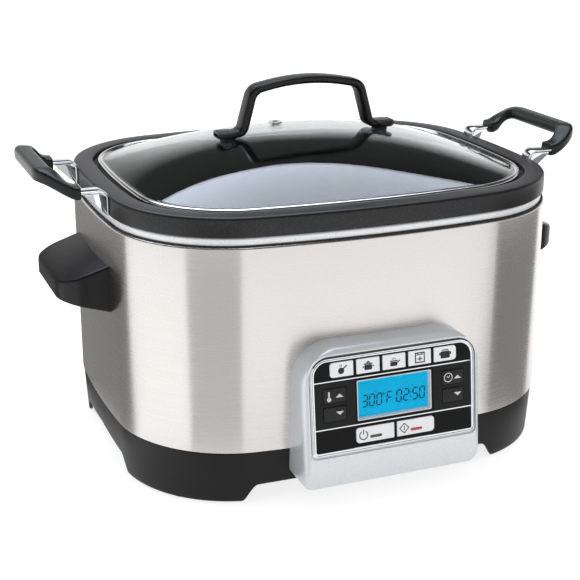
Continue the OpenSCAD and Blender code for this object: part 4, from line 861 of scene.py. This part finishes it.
def makeBezel():
    p = panel
    flat = face.inverted()

    def straight(depth, cut):  # section of the straight housing, where it crosses the plane at that depth
        loop = []
        for point in tab(p["half"] - cut, p["z0"] + cut, p["z1"] - cut, p["topRadius"] - cut, p["lowRadius"] - cut, 10):
            s = (point.y - p["foot"] + depth * math.sin(lean)) / math.cos(lean)
            loop.append(Vector((point.x, s, -depth)))
        return loop

    def plateau(grow, z):
        return raised(tab(
            p["fasciaHalf"] + p["rim"] + grow, p["s0"] - p["chin"] - grow, p["s1"] + p["rim"] + grow, 16 + grow, 9 + grow, 10), z)

    def opening(grow, z):
        return raised(faceTab(p["trim"] + grow, p["trimTop"] + grow, p["trimLow"] + grow, 10), z)

    def atCasing(cut, inside):  # section where the housing meets the casing
        frontCentre = halfDepth - outline["frontBow"]
        loop = []
        for q in tab(p["half"] - cut, p["z0"] + cut, p["z1"] - cut, p["topRadius"] - cut, p["lowRadius"] - cut, 10):
            y = inside - frontCentre - math.sqrt(outline["frontBow"] ** 2 - q.x ** 2)
            loop.append(flat @ (Vector((q.x, y + seatY, q.y)) * mm) / mm)
        return loop
    wall, top = straight(p["shoulder"], 0), plateau(0, 0)
    loops = [atCasing(0, 7), atCasing(0, 0), wall]
    for k in range(1, 9):  # the soft shoulder: a bend from the straight side to the front
        t = k / 8
        loops.append([a * (1 - t) ** 2 + (a.lerp(b, 0.12) - Vector((0, 0, a.z * 0.82))) * 2 * t * (1 - t) + b * t * t
                      for a, b in zip(wall, top)])
    loops += [opening(1.3, 0), opening(0.95, -0.25), opening(0.9, -1), opening(0.05, -1), opening(0.05, -2.5), opening(-4.2, -2.5),
              opening(-4.2, -4.5), opening(0, -4.5), straight(p["shoulder"] + 3, 3), atCasing(3, 0), atCasing(3, 7)]
    bezel = onPanel(wrapSheet("bezel", loops, closed=True))
    return dress(bezel, "panel_surround", "silverPaint", "base", ["panel_bezel"], 35)


makeBezel()


def ringOnFace(name, sections):  # a frame round the fascia: each section is (grow, top radius, lower radius, z)
    loops = [raised(faceTab(grow, topRadius, lowRadius, 8), z) for grow, topRadius, lowRadius, z in sections]
    return onPanel(wrapSheet(name, loops, closed=True))


trimRing = ringOnFace("trimRing", [
    (3.5, 13.5, 4.5, -2), (3.5, 13.5, 4.5, -0.3), (3.3, 13.3, 4.3, -0.1), (2.3, 12.3, 3.4, 0.5),
    (2, 12, 3.1, 0.5), (1.8, 11.8, 2.9, -0.5), (1.5, 11.5, 2.6, -0.5), (1.3, 11.3, 2.4, 0.4),
    (1, 11, 2.1, 0.5), (0.4, 10.4, 1.7, 0.4), (0.1, 10.1, 1.5, 0), (0.1, 10.1, 1.5, -2)])
bars = []
for s in lineAt:
    rod = prism("bar", raised(block(0, s, 2 * panel["fasciaHalf"] + 1, panel["line"], 0.1), -0.4), 0.75)
    soften(rod, 0.2, 2)
    bars.append(onPanel(rod))
dress(joined("trim", [trimRing] + bars), "panel_chrome", "chrome", "base", ["panel_trim"])

key = {"pitch": 20.8, "arrowOffset": 6.9, "proud": 0.6, "back": -2.8, "crown": 0.35, "ink": 0.1}
keyKinds = {
    "mode": {"size": (18.3, 11), "look": "keyWhite", "ink": "printInk", "slot": "white_key"},
    "arrow": {"size": (17.6, 10.8), "look": "keyBlack", "ink": "paleInk", "slot": "black_key"},
    "wide": {"size": (30.4, 11.6), "look": "keyWhite", "ink": "printInk", "slot": "white_key"},
}
lens = {"x": 0.4, "s": -2, "width": 9.6, "height": 2.2}  # from the middle of its key
modeS = (lineAt[1] + panel["s1"]) / 2 + 0.7
arrowX = panel["fasciaHalf"] - 15.2
wideX, wideS = 16.4, (panel["s0"] + lineAt[0]) / 2
display = {"width": 60, "height": 30.4, "border": 1.1, "depth": 3.4, "slope": 3.6, "sill": 2.6}


def padOutline(side):  # charcoal field beside the display, its outer edge against the trim
    outer, inner = panel["fasciaHalf"] - 0.2, display["width"] / 2 + 1.6
    x0, x1 = (inner, outer) if side > 0 else (-outer, -inner)
    return roundCorners([(x1, lineAt[0] + 0.5, 0.3), (x1, lineAt[1] - 0.5, 0.3), (x0, lineAt[1] - 0.5, 0.3), (x0, lineAt[0] + 0.5, 0.3)], 2)


for side, word in ((-1, "left"), (1, "right")):
    pad = prism("pad", raised(padOutline(side), 0), 0.25)
    arrowWidth, arrowHeight = keyKinds["arrow"]["size"]
    for s in (middle + key["arrowOffset"], middle - key["arrowOffset"]):
        cutWith(pad, prism("hole", raised(block(side * arrowX, s, arrowWidth + 0.7, arrowHeight + 0.7, 1.3), -2), 5))
    dress(onPanel(pad), f"{word}_key_field", "charcoalFilm", "base", ())


# pictograms: each is a list of flat outlines in millimetres round the key's middle

def bar(x0, y0, x1, y1, width):
    start, end = Vector((x0, y0)), Vector((x1, y1))
    side = (end - start).normalized().orthogonal() * width / 2
    return [start + side, start - side, end - side, end + side]


def hoop(x, y, radius, width, start=0, end=360, count=24):
    outer = [(radius + width / 2, start + (end - start) * i / count) for i in range(count + 1)]
    inner = [(radius - width / 2, end - (end - start) * i / count) for i in range(count + 1)]
    points = outer + inner if end - start < 360 else outer[:-1]
    return [Vector((x + r * math.cos(math.radians(a)), y + r * math.sin(math.radians(a)))) for r, a in points]


def triangle(x, y, width, height):
    return [Vector((x - width / 2, y)), Vector((x + width / 2, y)), Vector((x, y + height))]


def frameOf(x, y, width, height, line):  # open square as four bars
    return [block(x, y + (height - line) / 2, width, line, 0), block(x, y - (height - line) / 2, width, line, 0),
            block(x - (width - line) / 2, y, line, height - 2 * line, 0), block(x + (width - line) / 2, y, line, height - 2 * line, 0)]


def steam(x, y):
    return [bar(x, y, x, y + 1.5, 0.4), bar(x - 1.1, y, x - 1.1, y + 1, 0.4), bar(x + 1.1, y, x + 1.1, y + 1, 0.4)]


upArrow = triangle(3.8, -1.6, 6.1, 2.6)
downArrow = [Vector((q.x, 1.6 - q.y)) for q in reversed(triangle(3.8, 0, 6.1, 2.6))]
startTips = [(-9.6, 3.7), (-5.9, 0), (-9.6, -3.7), (-13.3, 0)]
icons = {
    "sear": [disc(-0.5, -1, 2.4), bar(1, 0.3, 4.1, 2.7, 0.9), bar(-1.3, 2, -1.3, 3.6, 0.5), bar(0, 2.3, 0, 3.6, 0.5)],
    "slow_cook": [block(0, -1.3, 6.2, 3.9, 0.9), block(0, 1.3, 7.1, 0.8, 0.3), triangle(0, 2, 4.1, 1.5),
                  block(-3.9, -0.7, 1.1, 0.9, 0.2), block(3.9, -0.7, 1.1, 0.9, 0.2)],
    "simmer": [block(-0.4, -1.8, 5.7, 3.2, 1), bar(2.3, -1.1, 4.6, 0.5, 0.8), block(-0.4, 0.5, 6.4, 0.7, 0.2)] + steam(-0.4, 1.4),
    "bake": frameOf(0, 0, 8, 8, 0.8) + [block(0, 2.3, 5.7, 0.6, 0), block(-1.7, 3, 0.8, 0.5, 0), block(1.7, 3, 0.8, 0.5, 0),
                                      block(0, -1, 3.9, 0.7, 0.1), bar(0, -2.5, 0, 0.9, 0.7)],
    "steam": [block(0, -0.7, 7.6, 5.4, 1), block(0, 2.9, 5.3, 0.7, 0.2), block(-4.4, 0.2, 1, 2, 0.2), block(4.4, 0.2, 1, 2, 0.2)],
    "temp_up": [hoop(-4.4, -2.4, 1.15, 1), block(-4.4, 0.9, 1.3, 5, 0.6), upArrow],
    "temp_down": [downArrow],
    "time_up": [hoop(-3.9, 0, 3.3, 0.65, 0, 359), bar(-3.9, -0.2, -2.4, 1.5, 0.5), bar(-3.9, -0.2, -5, 1.1, 0.5), upArrow],
    "time_down": [downArrow],
    "power": [hoop(-9.6, -0.2, 3.2, 0.7, 120, 420), bar(-9.6, 0.5, -9.6, 4.1, 0.7)],
    "start": [bar(*a, *b, 0.65) for a, b in zip(startTips, startTips[1:] + startTips[:1])] + [bar(-9.6, -1.5, -9.6, 1.5, 0.7)],
}


def makeKey(name, kind, x, s, radii):  # radii of its left and right corners
    width, height = keyKinds[kind]["size"]
    outlinePoints = roundCorners([(width / 2, -height / 2, radii[1]), (width / 2, height / 2, radii[1]),
                                  (-width / 2, height / 2, radii[0]), (-width / 2, -height / 2, radii[0])], 5)
    cap = prism(name, raised(outlinePoints, key["back"]), key["proud"] - key["back"])
    soften(cap, key["crown"], 3, 60)
    if kind == "wide":  # pocket for the lens
        cutWith(cap, prism("pocket", raised(block(lens["x"], lens["s"], lens["width"], lens["height"], 0.8), key["proud"] - 1.2), 3))
    cap.data.materials.append(looks[keyKinds[kind]["look"]])
    marks = []
    for shape in icons[name]:
        mark = prism("mark", raised(shape, key["proud"] - 0.05), 0.05 + key["ink"])
        mark.data.materials.append(looks[keyKinds[kind]["ink"]])
        marks.append(mark)
    whole = joined(name, [cap] + marks)
    whole.data.transform(face @ shift(x, s))
    node = f"{name}_button"
    dress(whole, f"{name}_key", None, node, [node])


modes = ["sear", "slow_cook", "simmer", "bake", "steam"]
for i, name in enumerate(modes):
    radii = (2.6 if i == 0 else 0.5, 2.6 if i == 4 else 0.5)
    makeKey(name, "mode", (i - 2) * key["pitch"], modeS, radii)
for word, side in (("temp", -1), ("time", 1)):
    makeKey(word + "_up", "arrow", side * arrowX, middle + key["arrowOffset"], (1.2, 1.2))
    makeKey(word + "_down", "arrow", side * arrowX, middle - key["arrowOffset"], (1.2, 1.2))
makeKey("power", "wide", -wideX, wideS, (2.6, 0.5))
makeKey("start", "wide", wideX, wideS, (0.5, 2.6))
print("keys made")


def makeDisplay():
    d = display
    w, h, depth = d["width"], d["height"], d["depth"]

    def loop(width, height, radius, z):
        return raised(block(0, middle, width, height, radius), z)
    rim, slope = d["border"], d["slope"]
    border = wrapSheet("border", [
        loop(w, h, 0.8, -depth), loop(w, h, 0.8, 0.05), loop(w - 0.4, h - 0.4, 0.7, 0.3), loop(w - rim, h - rim, 0.6, 0.3),
        loop(w - 1.4 * rim, h - 1.4 * rim, 0.5, 0), loop(w - slope, h - slope, 0.4, -d["sill"]),
        loop(w - slope, h - slope, 0.4, -depth)], closed=True)
    dress(onPanel(border), "display_frame", "silverPaint", "base", ["lcd_frame"])
    window = prism("window", loop(w - 2 * d["border"], h - 2 * d["border"], 0.5, -depth), 0.8)
    soften(window, 0.15, 1)
    dress(onPanel(window), "display_cover", "displayGlass", "base", ["lcd_window"])
    back = prism("back", loop(w - 0.4, h - 0.4, 0.6, -depth - 5), 4.6)
    soften(back, 0.3, 2)
    dress(onPanel(back), "display_backlight", "backlight", "base", ["lcd_module"])
    # lit temperature and time in seven-segment figures
    segments = {"0": "abcdef", "2": "abged", "3": "abgcd", "5": "afgcd", "F": "aefg"}
    size = {"width": 3.8, "height": 8.6, "line": 1, "lean": 0.08, "drop": 6.6, "tip": 0.35}

    def segment(letter, x, y):
        w, h = size["width"], size["height"]
        ends = {"a": (0, h, w, h), "b": (w, h, w, h / 2), "c": (w, h / 2, w, 0), "d": (0, 0, w, 0),
                "e": (0, 0, 0, h / 2), "f": (0, h / 2, 0, h), "g": (0, h / 2, w, h / 2)}[letter]
        start, end = Vector(ends[:2]), Vector(ends[2:])
        run = (end - start).normalized()
        tip = run * size["tip"]
        start, end = start + tip, end - tip
        side = run.orthogonal() * size["line"] / 2
        shape = [start, start + tip + side, end - tip + side, end, end - tip - side, start + tip - side]
        return [Vector((x + q.x + size["lean"] * q.y, y + q.y)) for q in shape]
    shapes = []
    for figure, x in (("3", -24.6), ("0", -18.8), ("0", -13), ("F", -4.8), ("0", 3), ("2", 8.9), ("5", 16.2), ("0", 21.9)):
        shapes += [segment(letter, x, middle - size["drop"]) for letter in segments[figure]]
    shapes += [disc(14.5 + size["lean"] * y, middle - size["drop"] + y, 0.5, 10) for y in (2.4, 6)]
    shapes.append(hoop(-7.1, middle + 1.4, 0.6, 0.4, 0, 359, 12))
    marks = [prism("mark", raised(shape, -depth - 0.41), 0.15) for shape in shapes]
    dress(onPanel(joined("figures", marks)), "display_figures", "displayInk", "base", ())


makeDisplay()

for word, x, look, slot in (("power", -wideX, "greenLens", "green_lens"), ("start", wideX, "redLens", "red_lens")):
    light = prism("lens", raised(block(lens["x"], lens["s"], lens["width"] - 0.2, lens["height"] - 0.2, 0.75), key["proud"] - 1.15), 1.25)
    soften(light, 0.3, 2)
    light.data.transform(face @ shift(x, wideS))
    dress(light, f"{word}_light", look, f"{word}_button", [f"{word}_led_lens"])
print("panel made")

# CAD pieces that keep their shape and get a finish by their slot

slotLooks = {
    "cover_plastic": "baseBlack", "foot_rubber": "rubber", "black_rubber": "rubber", "zinc_steel": "zinc", "mineral_wool": "mineralWool",
    "cast_aluminium": "castAluminium", "element_steel": "oxidisedSteel", "galvanised_steel": "galvanised", "spring_steel": "springSteel",
    "sensor_aluminium": "castAluminium", "circuit_board": "circuitBoard", "relay_plastic": "darkPlastic", "copper_winding": "copper",
    "lead_silicone": "silicone", "ribbon_vinyl": "vinyl", "fascia_plastic": "glossBlack", "switch_plastic": "darkPlastic",
    "chrome_bracket": "chrome", "rolled_steel": "rolledSteel",
}
slots = {sub["node"]: sub["material_slot"] for sub in frame["record"]["subparts"]}
for name, node in frame["nodes"].items():
    if not node.hide_render and slots.get(name) in slotLooks:
        node.data.materials.clear()
        node.data.materials.append(looks[slotLooks[slots[name]]])

# studio

studio = {
    "fill": 0.8,  # world light on matt surfaces
    "underGlass": 0.2,  # world light that reaches the inside of the pot through the lid
    "floor": 1.35,  # how bright the floor shows itself to the camera
    "fade": (0.26, 0.5, 0.6),  # that is held to the last share nearer than the first distance and full past the second (m)
    "ceiling": (0.2, 0.38, 0.07),  # sine of the height where the glossy world starts to darken, where it ends, and how dark it gets
    "softbox": {"corner": (-140, 1460, 1200), "along": (0.73, -0.68), "size": (1400, 1250), "power": 20, "colour": "#e9f1ff"},
    "reach": 160, "stripReach": 60, "cardHeight": 190,  # how far from the casing a card and its strip on the floor start, and its height
    # cards that the steel shows as bands: (from, to) in degrees of the outline's normal, and brightness
    "cards": ((-200, -160.5, 0.27), (-157.5, -128, 1.42), (-127.5, -104, 0.72), (-83, -50, 0.3)),
}


def makeFloor():  # pale studio floor that shows white to the camera and keeps a soft shadow
    material = bpy.data.materials.new("studio_floor")
    material.use_nodes = True
    tree = material.node_tree
    tree.nodes.remove(tree.nodes["Principled BSDF"])
    paper = addNode(tree, "BsdfDiffuse", {"Color": linear("#f2f2f2")})
    white = addNode(tree, "Emission", {"Color": (1, 1, 1, 1), "Strength": studio["floor"]})
    ray = addNode(tree, "LightPath")
    seen = addNode(tree, "Math", None, {0: ray.outputs["Is Camera Ray"], 1: ray.outputs["Is Glossy Ray"]}, operation="MAXIMUM")
    through = addNode(tree, "Math", None, {0: seen.outputs[0], 1: ray.outputs["Is Transmission Ray"]}, operation="MAXIMUM")
    place = addNode(tree, "TexCoord")
    away = addNode(tree, "VectorMath", None, {0: place.outputs["Object"]}, operation="LENGTH")
    near, far, least = studio["fade"]
    share = addNode(tree, "MapRange", {"From Min": near, "From Max": far, "To Min": least, "To Max": 1}, {"Value": away.outputs["Value"]})
    amount = addNode(tree, "Math", None, {0: through.outputs[0], 1: share.outputs["Result"]}, operation="MULTIPLY")
    mix = addNode(tree, "MixShader", None, {0: amount.outputs[0], 1: paper.outputs[0], 2: white.outputs[0]})
    tree.links.new(mix.outputs[0], tree.nodes["Material Output"].inputs["Surface"])
    return material


clearSelection()
bpy.ops.mesh.primitive_plane_add(size=12, location=(0, 0, 0))
floor = bpy.context.object
floor.name = "studio_floor"
floor.data.materials.append(makeFloor())

world = bpy.data.worlds.new("studio")
bpy.context.scene.world = world
world.use_nodes = True
tree = world.node_tree
background = tree.nodes["Background"]
ray = addNode(tree, "LightPath")
bounces = addNode(tree, "Math", None, {0: ray.outputs["Diffuse Depth"], 1: ray.outputs["Glossy Depth"]}, operation="ADD")
first = addNode(tree, "Math", {1: 0.5}, {0: bounces.outputs[0]}, operation="LESS_THAN")
through = addNode(tree, "Math", None, {0: ray.outputs["Is Transmission Ray"], 1: first.outputs[0]}, operation="MULTIPLY")
seen = addNode(tree, "Math", None, {0: ray.outputs["Is Camera Ray"], 1: through.outputs[0]}, operation="MAXIMUM")
direction = addNode(tree, "TexCoord")
parts = addNode(tree, "SeparateXYZ", None, {0: direction.outputs["Generated"]})
start, end, dark = studio["ceiling"]
ceiling = addNode(tree, "MapRange", {"From Min": start, "From Max": end, "To Min": 1, "To Max": dark}, {"Value": parts.outputs["Z"]})
under = addNode(tree, "Mix", {2: studio["fill"], 3: studio["underGlass"]}, {0: ray.outputs["Is Transmission Ray"]}, data_type="FLOAT")
glossy = addNode(tree, "Mix", None, {0: ray.outputs["Is Glossy Ray"], 2: under.outputs[0], 3: ceiling.outputs["Result"]}, data_type="FLOAT")
strength = addNode(tree, "Mix", {3: 1}, {0: seen.outputs[0], 2: glossy.outputs[0]}, data_type="FLOAT")
tree.links.new(strength.outputs[0], background.inputs["Strength"])
background.inputs["Color"].default_value = (1, 1, 1, 1)


def addSoftbox():  # a level lamp behind and above, which the lid shows as a broad pale patch
    box = studio["softbox"]
    along = Vector(box["along"]).normalized()
    inward = Vector((along.y, -along.x))
    middle = Vector(box["corner"][:2]) + along * box["size"][0] / 2 + inward * box["size"][1] / 2
    clearSelection()
    bpy.ops.object.light_add(type="AREA")
    lamp = bpy.context.object
    lamp.name = "softbox"
    lamp.data.shape = "RECTANGLE"
    lamp.data.size, lamp.data.size_y = box["size"][0] * mm, box["size"][1] * mm
    lamp.data.energy = box["power"]
    lamp.data.color = linear(box["colour"])[:3]
    lamp.matrix_world = shift(middle.x, middle.y, box["corner"][2]) @ Matrix.Rotation(math.atan2(along.y, along.x), 4, "Z")


addSoftbox()


def outlineAt(turn):  # point of the casing whose outward normal has that azimuth (degrees), and the normal
    normal = Vector((math.cos(math.radians(turn)), math.sin(math.radians(turn))))
    steep = math.atan2(abs(normal.y), abs(normal.x))
    if steep < sideTurn:
        centre, radius = Vector((halfWidth - outline["sideBow"], 0)), outline["sideBow"]
    elif steep > frontTurn:
        centre, radius = Vector((0, halfDepth - outline["frontBow"])), outline["frontBow"]
    else:
        centre, radius = Vector(cornerCentre), outline["corner"]
    centre = Vector((math.copysign(1, normal.x) * centre.x, math.copysign(1, normal.y) * centre.y))
    return centre + normal * radius, normal


def addCard(index, start, end, brightness):  # a sheet that only glossy rays see: a strip on the floor, then upright, where the steel looks
    rows = 12
    clearSelection()
    bpy.ops.mesh.primitive_grid_add(x_subdivisions=2, y_subdivisions=rows, size=1)
    card = bpy.context.object
    card.name = card.data.name = f"card{index}"
    for i in range(rows + 1):
        point, normal = outlineAt(start + (end - start) * i / rows)
        point = point + Vector((0, seatY))
        sight = (point - Vector(view["place"][:2])).normalized()
        mirrored = sight - 2 * sight.dot(normal) * normal
        near, far = point + mirrored * studio["stripReach"], point + mirrored * studio["reach"]
        for k, (spot, level) in enumerate(((near, 1), (far, 1), (far, studio["cardHeight"]))):
            card.data.vertices[3 * i + k].co = Vector((spot.x, spot.y, level)) * mm
    glow, tree, shader = newMaterial(f"card_glow{index}", "#000000", Specular_IOR_Level=0)
    shader.inputs["Emission Color"].default_value = (1, 1, 1, 1)
    shader.inputs["Emission Strength"].default_value = brightness
    card.data.materials.append(glow)
    card.visible_camera = card.visible_diffuse = card.visible_transmission = card.visible_shadow = False


for index, (start, end, brightness) in enumerate(studio["cards"]):
    addCard(index, start, end, brightness)
print("studio ready")
